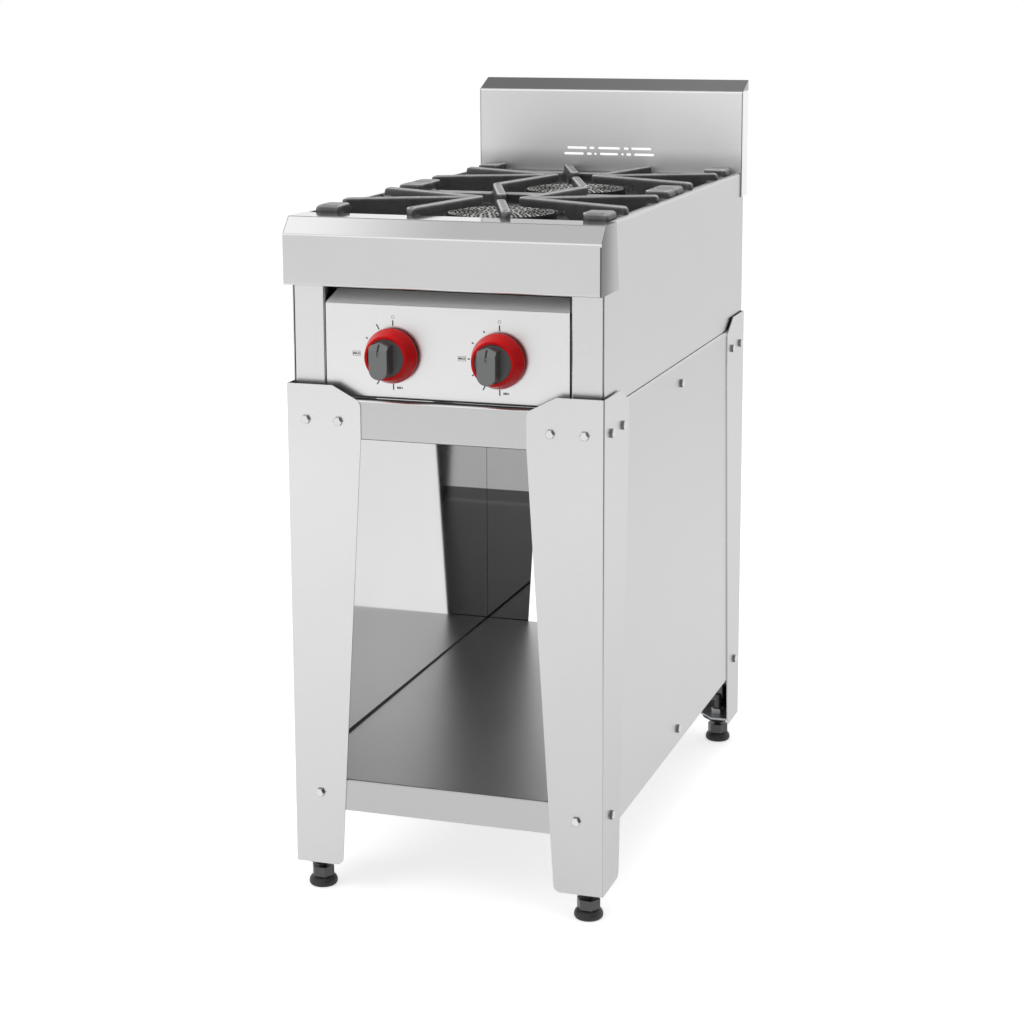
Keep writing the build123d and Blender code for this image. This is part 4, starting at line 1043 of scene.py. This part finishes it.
@dataclass
class DialPrints(Detail):
    """Printed ticks and words round the two knobs, and the small ring above each.

    Attributes:
        ring: middle radius of the ticks.
        small_ring: radius of the small ring, and its height above the knob's axis.
        ring_steps: bars in the small ring.
        overlap: length of each of these bars as a part of their pitch.
        word_left: distance of the left word from the axis.
        word_below: place of the lower word, to the right of the axis and below it.
        letters: height of the letters.
        bold: how much their strokes are widened.
        ink: thickness of the print.
        tick: length and width of a long tick.
        dot: length and width of a short tick.
        frame: width and height of the frame round a word.
        line: width of the printed lines.
        hours: clock hour of each tick, and whether it is long, for the left and the right knob.
    """

    ring: float = 38.5 * MM
    small_ring: Pair = (1.7 * MM, 46.0 * MM)
    ring_steps: int = 24
    overlap: float = 1.05
    word_left: float = 47.0 * MM
    word_below: Pair = (8.0 * MM, 39.5 * MM)
    letters: float = 4.0 * MM
    bold: float = 0.12 * MM
    ink: float = 0.12 * MM
    tick: Pair = (7.0 * MM, 1.5 * MM)
    dot: Pair = (2.6 * MM, 1.6 * MM)
    frame: Pair = (9.6 * MM, 5.4 * MM)
    line: float = 0.4 * MM
    hours: tuple[tuple[tuple[int, bool], ...], ...] = (
        ((12, True), (11, True), (10, False), (7, True), (6, True)),
        ((12, True), (11, False), (10, False), (9, False), (8, False), (7, True), (6, True)),
    )

    def spot(self, x: float, right: float, up: float, turn: float = 0.0) -> Matrix:
        """Place on the panel beside a knob's axis, its local Y upward and its Z outward.

        Args:
            x: the knob's axis.
            right: distance to the right of the axis.
            up: distance above the axis.
            turn: turn to the right, in radians.

        Returns:
            The place.
        """
        centre = Vector((x + right, self.spots.control_face, self.spots.knob_height + up))
        upright = Matrix.Rotation(math.radians(90.0), 4, "X")
        return Matrix.Translation(centre) @ upright @ Matrix.Rotation(-turn, 4, "Z")

    def plate(self, bm: bmesh.types.BMesh, place: Matrix, long: float, wide: float) -> None:
        """Add one printed bar, its length along the local Y."""
        scale = Matrix.Diagonal((wide, long, self.ink, 1.0))
        bmesh.ops.create_cube(bm, size=1.0, matrix=place @ Matrix.Translation((0, 0, self.ink / 2)) @ scale)

    def ring_print(self, bm: bmesh.types.BMesh, place: Matrix, radius: float) -> None:
        """Add one printed ring.

        Args:
            bm: mesh to add to.
            place: middle of the ring on the panel.
            radius: its middle radius.
        """
        step = FULL_TURN / self.ring_steps
        for index in range(self.ring_steps):
            bar = place @ Matrix.Rotation(step * index, 4, "Z") @ Matrix.Translation((radius, 0, 0))
            self.plate(bm, bar, step * radius * self.overlap, self.line)

    def frame_print(self, bm: bmesh.types.BMesh, place: Matrix) -> None:
        """Add the printed frame round a word.

        Args:
            bm: mesh to add to.
            place: middle of the frame on the panel.
        """
        wide, high = self.frame
        for side in Side:
            way = side.value / 2
            self.plate(bm, place @ Matrix.Translation((0, way * high, 0)), self.line, wide + self.line)
            self.plate(bm, place @ Matrix.Translation((way * wide, 0, 0)), high - self.line, self.line)

    def word(self, bm: bmesh.types.BMesh, text: str, place: Matrix) -> None:
        """Add a short word.

        Args:
            bm: mesh to add to.
            text: the word.
            place: its middle on the panel.
        """
        curve = bpy.data.curves.new("dial_word", "FONT")
        curve.body = text
        curve.size = self.letters
        curve.align_x = "CENTER"
        curve.align_y = "CENTER"
        curve.extrude = self.ink / 2
        curve.offset = self.bold
        holder = new_object("dial_word", curve)
        mesh = plain_mesh(holder)
        mesh.transform(place @ Matrix.Translation((0, 0, self.ink / 2)))
        bm.from_mesh(mesh)
        bpy.data.meshes.remove(mesh)
        bpy.data.objects.remove(holder)
        bpy.data.curves.remove(curve)

    def build(self) -> list[bpy.types.Object]:
        """Make the prints.

        Returns:
            The one piece.
        """
        bm = bmesh.new()
        for side, marks in zip(Side, self.hours):
            x = side.value * self.spots.knob_offset
            for hour, long in marks:
                turn = FULL_TURN * hour / 12
                place = self.spot(x, self.ring * math.sin(turn), self.ring * math.cos(turn), turn)
                self.plate(bm, place, *(self.tick if long else self.dot))
            self.ring_print(bm, self.spot(x, 0.0, self.small_ring[1]), self.small_ring[0])
            left = self.spot(x, -self.word_left, 0.0)
            self.word(bm, "MAX", left)
            self.frame_print(bm, left)
            self.word(bm, "MIN", self.spot(x, self.word_below[0], -self.word_below[1]))
        piece = meshed("dial_prints", bm, outward=False)
        self.shop.coat(piece, DIAL_INK)
        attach(piece, "cooker")
        return [piece]


@dataclass
class PointerInlay(Detail):
    """Black pointer on the sloped end of a knob's grip.

    Attributes:
        side: which knob.
        width: width of the pointer.
        reach: where it begins and ends above the knob's axis.
        slope_start: height above the axis at which the grip's face begins to slope.
        slope: fall of the face for each unit of height.
        proud: how far it stands above the face.
        sunk: how far it goes into the face.
    """

    side: Side
    width: float = 2.4 * MM
    reach: Pair = (12.0 * MM, 20.0 * MM)
    slope_start: float = 13.0 * MM
    slope: float = 0.7
    proud: float = 0.15 * MM
    sunk: float = 1.2 * MM

    def build(self) -> list[bpy.types.Object]:
        """Make the pointer.

        Returns:
            The one piece.
        """
        spots = self.spots
        bm = bmesh.new()
        rows = []
        for x in (-self.width / 2, self.width / 2):
            for depth in (-self.proud, self.sunk):
                for up in (self.reach[0], self.slope_start, self.reach[1]):
                    y = spots.grip_face + max(0.0, up - self.slope_start) * self.slope + depth
                    corner = (self.side.value * spots.knob_offset + x, y, spots.knob_height + up)
                    rows.append(bm.verts.new(corner))
        bars = ((0, 6, 9, 3), (2, 5, 11, 8))
        halves = (((a, a + 1, a + 7, a + 6), (a + 3, a + 9, a + 10, a + 4)) for a in (0, 1))
        sides = (((a, a + 3, a + 4, a + 1), (a + 6, a + 7, a + 10, a + 9)) for a in (0, 1))
        for face in (*bars, *sum(halves, ()), *sum(sides, ())):
            bm.faces.new([rows[index] for index in face])
        piece = meshed(f"pointer_{self.side.label}", bm)
        self.shop.coat(piece, DIAL_INK)
        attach(piece, f"knob_{self.side.label}")
        return [piece]


@dataclass
class SealBead(Detail):
    """Dark bead that paints the shadow of the gap in the corner between the shelf and a lower side panel.

    Attributes:
        side: which side of the shelf.
        sizes: leg of the bead's section at the front and at the rear.
        hollow: depth of the section's hollow.
        count: steps round the hollow of the bead.
    """

    side: Side
    sizes: Pair = (4.0 * MM, 1.6 * MM)
    hollow: float = 0.75
    count: int = 6

    def section(self, size: float) -> list[Pair]:
        """Section of the bead, as distance from the middle plane and height.

        Args:
            size: leg of the section.

        Returns:
            Its corners.
        """
        wall, base = self.spots.panel_inner, self.spots.shelf_top
        corners = [(wall, base), (wall - size, base)]
        for index in range(1, self.count):
            angle = math.radians(90.0) * index / self.count
            x = wall - size * (1.0 - math.sin(angle) * self.hollow)
            corners.append((x, base + size * (1.0 - math.cos(angle) * self.hollow)))
        return [*corners, (wall, base + size)]

    def build(self) -> list[bpy.types.Object]:
        """Make the bead.

        Returns:
            The one piece.
        """
        bm = bmesh.new()
        ends = []
        for y, size in zip((self.spots.shelf_front, self.spots.shelf_rear), self.sizes):
            ends.append([bm.verts.new((self.side.value * x, y, z)) for x, z in self.section(size)])
        skin_between(bm, *ends)
        for ring in ends:
            bm.faces.new(ring)
        piece = meshed(f"seal_bead_{self.side.label}", bm)
        # painted shadow of the gap between shelf and side panel
        self.shop.coat(piece, GAP_SHADOW)
        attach(piece, "cooker")
        return [piece]


def skin_between(bm: bmesh.types.BMesh, here: Sequence[Any], there: Sequence[Any]) -> None:
    """Join two closed rings of corners with faces.

    Args:
        bm: mesh to add to.
        here: corners of one ring.
        there: corners of the other.
    """
    for index in range(len(here)):
        after = (index + 1) % len(here)
        bm.faces.new((here[index], there[index], there[after], here[after]))


def turned_piece(name: str, outline: Sequence[Pair], centre: Vector) -> bpy.types.Object:
    """Closed turned shape on an upright axis.

    Args:
        name: name of the piece.
        outline: corners of the section as radius and height, round a closed line.
        centre: foot of the axis.

    Returns:
        The piece.
    """
    bm = bmesh.new()
    rings = []
    for index in range(TURN_STEPS):
        angle = FULL_TURN * index / TURN_STEPS
        across, along = math.cos(angle), math.sin(angle)
        rings.append([bm.verts.new(centre + Vector((r * across, r * along, z))) for r, z in outline])
    for here, there in zip(rings, rings[1:] + rings[:1]):
        skin_between(bm, here, there)
    bmesh.ops.remove_doubles(bm, verts=bm.verts, dist=0.01 * MM)
    piece = meshed(name, bm)
    shade_by_angle(piece.data)
    return piece


def arc_points(middle: Pair, radius: float, start: float, end: float) -> list[Pair]:
    """Points along an arc.

    Args:
        middle: centre of the arc.
        radius: its radius.
        start: first angle, in degrees.
        end: last angle, in degrees.

    Returns:
        Points from start to end.
    """
    angles = [math.radians(start + (end - start) * index / ARC_STEPS) for index in range(ARC_STEPS + 1)]
    return [(middle[0] + radius * math.cos(angle), middle[1] + radius * math.sin(angle)) for angle in angles]


@dataclass
class FootRounds(Detail):
    """Moulded rounds of the four feet, with a full shoulder.

    Attributes:
        foot: radius of the lower rounding.
        shoulder: radius of the shoulder.
        hole: radius of the hole.
    """

    foot: float = 4.4 * MM
    shoulder: float = 7.6 * MM
    hole: float = 6.1 * MM

    def build(self) -> list[bpy.types.Object]:
        """Make the rounds, as wide and as high as the solids.

        Returns:
            The four pieces.
        """
        pieces = []
        for corner in (f"{row}_{side.label}" for row in ROWS for side in Side):
            node = f"foot_pad_{corner}"
            low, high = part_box(node)
            radius, top = (high.x - low.x) / 2, high.z
            foot = arc_points((radius - self.foot, self.foot), self.foot, -90.0, 0.0)
            shoulder = arc_points((radius - self.shoulder, top - self.shoulder), self.shoulder, 0.0, 90.0)
            outline = [(self.hole, 0.0), *foot, *shoulder, (self.hole, top)]
            centre = Vector(((low.x + high.x) / 2, (low.y + high.y) / 2, 0.0))
            piece = turned_piece(f"moulded_round_{corner}", outline, centre)
            self.shop.coat(piece, FINISHES[Slot.FOOT_PLASTIC])
            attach(piece, f"foot_{corner}")
            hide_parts(node)
            pieces.append(piece)
        return pieces


@dataclass
class BurnerPorts(Detail):
    """Light rims of the ports in a burner head, and of small ports between them: bare drilled metal, made light also as
    painted glints on the port edges.

    Attributes:
        row: front or rear.
        rims: tree of one rim.
        radii: radius of each ring of ports.
        pitch: distance between the ports of a ring.
        port: radius of a rim's middle line.
        wire: radius of the rim's section.
        pin_radii: radius of each ring of small ports.
        pin_pitch: distance between the small ports.
        pin: radius of a small rim's middle line.
    """

    row: str
    rims: InstanceTree
    radii: tuple[float, ...] = (61.0 * MM, 50.0 * MM, 39.0 * MM, 28.0 * MM, 17.0 * MM)
    pitch: float = 12.8 * MM
    port: float = 1.9 * MM
    wire: float = 0.5 * MM
    pin_radii: tuple[float, ...] = (65.8 * MM, 55.5 * MM, 44.5 * MM, 33.5 * MM, 22.5 * MM, 11.5 * MM)
    pin_pitch: float = 6.4 * MM
    pin: float = 1.0 * MM

    @staticmethod
    def tree() -> InstanceTree:
        """Tree of one rim.

        Returns:
            The tree.
        """
        tree = InstanceTree("port_rim", ("Rim Radius", "Wire Radius"))
        path = {"Resolution": 8, "Radius": tree.inputs["Rim Radius"]}
        wire = {"Resolution": 4, "Radius": tree.inputs["Wire Radius"]}
        circles = [tree.graph.add("GeometryNodeCurvePrimitiveCircle", sizes).outputs["Curve"] for sizes in (path, wire)]
        rim = tree.graph.add("GeometryNodeCurveToMesh", {"Curve": circles[0], "Profile Curve": circles[1]})
        tree.finish(rim.outputs[0])
        return tree

    def ring_places(self, radii: Sequence[float], pitch: float) -> list[Matrix]:
        """Places of the ports on their rings.

        Args:
            radii: radius of each ring.
            pitch: distance between the ports of a ring.

        Returns:
            One matrix for each port.
        """
        low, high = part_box(f"burner_head_{self.row}")
        middle = (low + high) / 2
        rows = []
        for radius in radii:
            count = round(FULL_TURN * radius / pitch)
            for angle in (FULL_TURN * index / count for index in range(count)):
                offset = Vector((radius * math.cos(angle), radius * math.sin(angle), high.z - middle.z))
                rows.append(Matrix.Translation(middle + offset))
        return rows

    def build(self) -> list[bpy.types.Object]:
        """Make the rims.

        Returns:
            The ports and the small ports.
        """
        pieces = []
        ports = ("port_rims", self.radii, self.pitch, self.port)
        pins = ("pin_ports", self.pin_radii, self.pin_pitch, self.pin)
        for name, radii, pitch, rim in (ports, pins):
            sizes = {"Rim Radius": rim, "Wire Radius": self.wire}
            places = self.ring_places(radii, pitch)
            piece = self.rims.run(f"{name}_{self.row}", places, (self.shop.material(PORT_RIM),), sizes)
            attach(piece, f"burner_head_lift_{self.row}")
            pieces.append(piece)
        return pieces


@dataclass
class CastGrate(Detail):
    """A grate with the rounded edges and rough skin of sand-cast iron.

    Attributes:
        row: front or rear.
        solid: mesh of the CAD grate.
        voxel: cell of the rounding, in metres.
        depth: depth of the cast skin, in metres.
        grit: cell of the cast skin, in metres.
        level: value of the skin's pattern that leaves the surface where it is.
    """

    row: str
    solid: bpy.types.Mesh
    voxel: float = 1.5 * MM
    depth: float = 0.16 * MM
    grit: float = 3.2 * MM
    level: float = 0.62

    def build(self) -> list[bpy.types.Object]:
        """Make the grate from its solid, and keep it inside the solid's box.

        Returns:
            The one piece.
        """
        node = f"grate_{self.row}"
        bm = bmesh.new()
        bm.from_mesh(self.solid)
        bmesh.ops.remove_doubles(bm, verts=bm.verts, dist=0.001 * MM)
        piece = meshed(f"cast_grate_{self.row}", bm, outward=False)
        remesh = piece.modifiers.new("rounding", "REMESH")
        remesh.mode = "VOXEL"
        remesh.voxel_size = self.voxel
        smooth = piece.modifiers.new("smoothing", "CORRECTIVE_SMOOTH")
        smooth.iterations = 1
        smooth.use_only_smooth = True
        texture = bpy.data.textures.new("cast_skin", "CLOUDS")
        texture.noise_scale = self.grit
        texture.noise_depth = 2
        skin = piece.modifiers.new("skin", "DISPLACE")
        skin.texture = texture
        skin.texture_coords = "LOCAL"
        skin.strength = self.depth * 2
        skin.mid_level = self.level
        apply_modifiers(piece)
        mesh = piece.data
        corners = np.empty(len(mesh.vertices) * 3, np.float32)
        mesh.vertices.foreach_get("co", corners)
        low, high = (np.array(corner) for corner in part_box(node))
        mesh.vertices.foreach_set("co", np.clip(corners.reshape(-1, 3), low, high).ravel())
        mesh.shade_smooth()
        self.shop.coat(piece, FINISHES[Slot.CAST_IRON])
        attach(piece, f"grate_lift_{self.row}")
        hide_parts(node)
        return [piece]


def around(axis: str, place: float, before: float, after: float = HAIR) -> Band:
    """Limits on an axis, from a distance before a place to a distance after it."""
    return (axis, place - before, place + after)


def even(tone: float) -> Pair:
    """The same brightness factor at both ends of a run."""
    return (tone, tone)


@dataclass(frozen=True)
class SheetFinishes:
    """Finishes of the sheets and the grips that differ from their slot's.

    Attributes:
        spots: places measured on the CAD model.
        leg_tones: grey of the left and of the right legs, the right ones darker as painted shade.
        post_step: how much lighter a front post is than its legs.
        along_y: stretch of a grain that runs from the front to the rear.
        shade_top: height below which painted shade darkens the inner faces of the legs, and its soft edge.
        shade_band: heights between which the darkest band of painted shade begins.
        bend: width of the painted dark line of reflection on the legs' bend.
        lip_rise: height of the control panel's bent-back top.
        bevel: height and depth of the apron's bevel.
        bevel_end: where the painted highlight stops changing along the bevel.
        fold_line: how far the painted highlight line on the apron's fold goes down, up and back.
        corner: width and depth of the painted dark line on the apron's corners, and its gap below the fold.
        splash_foot: heights above the rim over which the painted shade at the backsplash's foot fades out.
        splash_half: distance from the middle at which the painted light across the backsplash stops changing.
        splash_strip: height of the backsplash's sloped top.
        splash_fold: top and height of the painted highlight line below it, and how far it goes back.
        splash_edge: width and depth of the painted dark line on the backsplash's ends.
        beam_line: top and height of the painted highlight line on the beam, below the control panel.
    """

    spots: Landmarks
    # the right legs and post darker than the left: painted shade
    leg_tones: Pair = (0.68, 0.625)
    post_step: float = 0.06
    along_y: Triple = (1.0, 0.04, 1.0)
    shade_top: Pair = (355.5 * MM, 1.0 * MM)
    shade_band: Pair = (331.0 * MM, 339.0 * MM)
    bend: float = 1.0 * MM
    lip_rise: float = 14.5 * MM
    bevel: Pair = (20.0 * MM, 21.0 * MM)
    bevel_end: float = 30.0 * MM
    fold_line: Triple = (1.4 * MM, 0.4 * MM, 4.0 * MM)
    corner: Triple = (1.7 * MM, 2.0 * MM, 3.0 * MM)
    splash_foot: Pair = (8.0 * MM, 34.0 * MM)
    splash_half: float = 170.0 * MM
    splash_strip: float = 14.5 * MM
    splash_fold: Triple = (15.0 * MM, 2.5 * MM, 1.5 * MM)
    splash_edge: Pair = (1.2 * MM, 2.5 * MM)
    beam_line: Pair = (0.6 * MM, 2.0 * MM)

    def sheet(self, name: str, tone: float, *zones: Zone, **settings: Any) -> BrushedSheet:
        """Brushed finish of one grey, with zones."""
        # each sheet's grey is set apart partly as painted light and shade, such as the darker shelf and the lighter
        # control panel and backsplash
        return BrushedSheet(f"{name}_stainless", grey(tone), zones=zones, **settings)

    def leg_zones(self) -> tuple[Zone, ...]:
        """Zones of the legs, all painted light and shade: darker towards the floor, dark inner faces, and a dark line
        on the bend.

        Returns:
            The zones, the later ones over the earlier.
        """
        spots = self.spots
        # painted shade: darker towards the floor and lighter towards the top
        fade = Zone((ALL_OVER,), (0.95, 1.10), ("Z", spots.shelf_middle, spots.leg_top))
        inside_x = around("X", spots.half_width - SHEET, spots.half_width - SHEET)
        inside_y = ("Y", spots.leg_front + SHEET - HAIR, spots.leg_rear - SHEET + HAIR)
        top, soft = self.shade_top
        # painted shade and dark reflection on the inner faces, and below it a darkest band
        inner = Zone((inside_x, inside_y, ALL_OVER), (0.25, 0.62), ("Z", top - soft, top), roughness=0.03)
        band = Zone((inside_x, inside_y, ("Z", self.shade_band[0], top)), (1.0, 0.45), ("Z", *self.shade_band))
        bend_y = around("Y", spots.leg_front, HAIR, self.bend)
        # painted dark line of reflection on the front bend
        return fade, inner, band, Zone((around("X", spots.half_width, self.bend), bend_y), even(0.7))

    def side_sheets(self, side: Side, tone: float) -> dict[str, Finish]:
        """Finishes of the sheets on one side.

        Args:
            side: which side.
            tone: grey of its legs.

        Returns:
            Finish by node name.
        """
        inside = around("X", self.spots.panel_inner, self.spots.panel_inner)
        # painted light: the panel's inner face made lighter, and smoother
        inner = Zone((inside, ALL_OVER), even(1.15), roughness=0.05)
        rows: dict[str, Finish] = {
            f"leg_{row}_{side.label}": BrushedSheet(
                f"leg_stainless_{row}_{side.label}", grey(tone), zones=self.leg_zones()
            )
            for row in ROWS
        }
        post = BrushedSheet(f"post_stainless_{side.label}", grey(tone + self.post_step))
        rows[f"front_post_{side.label}"] = post
        rows[f"body_side_{side.label}"] = self.sheet("body_side", 0.645, grain=self.along_y)
        rows[f"lower_panel_{side.label}"] = self.sheet("lower_panel", 0.62, inner, grain=self.along_y)
        return rows

    def control_panel(self) -> Finish:
        """Finish of the control panel, lighter on the left as painted light, with a matt lip along its top made lighter
        as painted light.

        Returns:
            The finish.
        """
        spots = self.spots
        # painted light falling off from left to right
        across = Zone((ALL_OVER,), (1.03, 0.97), ("X", -spots.half_width, spots.half_width))
        lip_limits = ("Z", spots.control_top - self.lip_rise + 0.5 * MM, spots.rim)
        # painted light on the bent-back lip, which mirrors the dark underside of the apron
        return self.sheet("control_panel", 0.78, across, Zone((lip_limits,), even(1.27), roughness=0.7, metallic=0.1))

    def apron(self) -> Finish:
        """Finish of the apron, with painted highlight on its bevel and fold, a smoother top, and painted shade on its
        ends and corners.

        Returns:
            The finish.
        """
        spots = self.spots
        half, front = spots.apron_half, spots.apron_front
        high, deep = self.bevel
        down, up, back = self.fold_line
        wide, far, gap = self.corner
        fold = spots.rim - high
        # painted highlight fading from left to right along the bevel
        bevel = Zone(
            (("Z", fold + 1.0 * MM, spots.rim - 0.6 * MM), ("Y", front, front + deep), ("X", 0.0, half - 1.0 * MM)),
            (1.5, 0.82),
            ("X", -half, self.bevel_end),
        )
        # painted highlight line along the fold
        fold_line = Zone((around("Z", fold, down, up), around("Y", front, 0.0, back)), even(1.35))
        top = Zone((around("Z", spots.rim, HAIR),), roughness=0.08)
        # painted shade on the side returns, darkest at the front
        ends = Zone(
            (around("X", half, 0.5 * MM), ("Y", front + 1.0 * MM, 0.0)),
            (0.20, 0.80),
            ("Y", front, spots.apron_back),
        )
        # painted dark line of reflection on the front corners
        corner = Zone(
            (around("X", half, wide), around("Y", front, HAIR, far), ("Z", 0.0, fold - gap)),
            (1.0, 0.18),
            ("X", 0.0, 10.0 * MM),
        )
        return self.sheet("apron", 0.65, bevel, fold_line, top, ends, corner)

    def backsplash(self) -> Finish:
        """Finish of the backsplash, with painted light across it, painted shade at its foot, on its sloped top and on
        its ends, and a painted highlight line below its sloped top.

        Returns:
            The finish.
        """
        low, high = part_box("backsplash_front")
        rim = self.spots.rim
        line, line_high, line_deep = self.splash_fold
        wide, deep = self.splash_edge
        foot_run = ("Z", rim + self.splash_foot[0], rim + self.splash_foot[1])
        return self.sheet(
            "backsplash",
            0.845,
            # painted light: darker on the left, lighter on the right
            Zone((ALL_OVER,), (0.84, 1.18), ("X", -self.splash_half, self.splash_half)),
            # painted shade at the foot
            Zone((("Y", 0.0, low.y + 3.0 * MM),), (0.66, 1.0), foot_run),
            # painted shade on the sloped top
            Zone((around("Z", high.z, self.splash_strip),), even(0.48)),
            # painted highlight line below the sloped top
            Zone((around("Z", high.z - line, line_high, 0.0), around("Y", low.y, HAIR, line_deep)), even(1.3)),
            # painted dark line on the ends
            Zone((around("X", high.x, wide), around("Y", low.y, 0.0, deep)), even(0.35)),
            roughness=0.42,
        )

    def beam(self) -> Finish:
        """Finish of the front beam: a painted highlight line, and painted shade where the control panel covers it.

        Returns:
            The finish.
        """
        below, high = self.beam_line
        top = self.spots.control_bottom - below
        # painted highlight line on the beam's top edge
        line = Zone((around("Z", top, high, 0.0),), even(1.5))
        # painted shade under the control panel
        return self.sheet("beam", 0.56, line, Zone((("Z", top, self.spots.rim),), even(0.1), roughness=0.6))

    def by_node(self) -> dict[str, Finish]:
        """All of them.

        Returns:
            Finish by node name.
        """
        rows: dict[str, Finish] = {}
        # dark base grey: painted shade on the grips' sides, lifted on their face and disc as painted light
        grip = GripPlastic(
            "knob_grip_plastic", (0.031, 0.032, 0.032), grain_scale=2200.0, bump=0.02 * MM, face=self.spots.grip_face
        )
        for side, tone in zip(Side, self.leg_tones):
            rows.update(self.side_sheets(side, tone))
            rows[f"knob_grip_{side.label}"] = grip
        rows["control_panel"] = self.control_panel()
        rows["apron"] = self.apron()
        rows["backsplash_front"] = self.backsplash()
        rows["shelf"] = self.sheet("shelf", 0.52, roughness=0.36, grain=self.along_y)
        rows["front_beam"] = self.beam()
        return rows


def main() -> None:
    """Build the dressed model."""
    logging.basicConfig(level=logging.INFO, format="%(name)s %(message)s")
    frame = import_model()
    spots = Landmarks.measured()
    shop = FinishShop()
    shop.coat_nodes(frame, SheetFinishes(spots).by_node())
    details: list[Detail] = [StandBolts(shop, spots), FootRounds(shop, spots), DialPrints(shop, spots)]
    for side in Side:
        details += [PointerInlay(shop, spots, side), SealBead(shop, spots, side)]
    rims = BurnerPorts.tree()
    for row in ROWS:
        solid = frame["nodes"][f"grate_{row}"].data
        details += [BurnerPorts(shop, spots, row, rims), CastGrate(shop, spots, row, solid)]
    for detail in details:
        for piece in detail.build():
            LOG.info("%s: %d faces", piece.name, len(piece.data.polygons))
    Studio().build()
    CameraView().build()


if __name__ == "__main__":
    main()
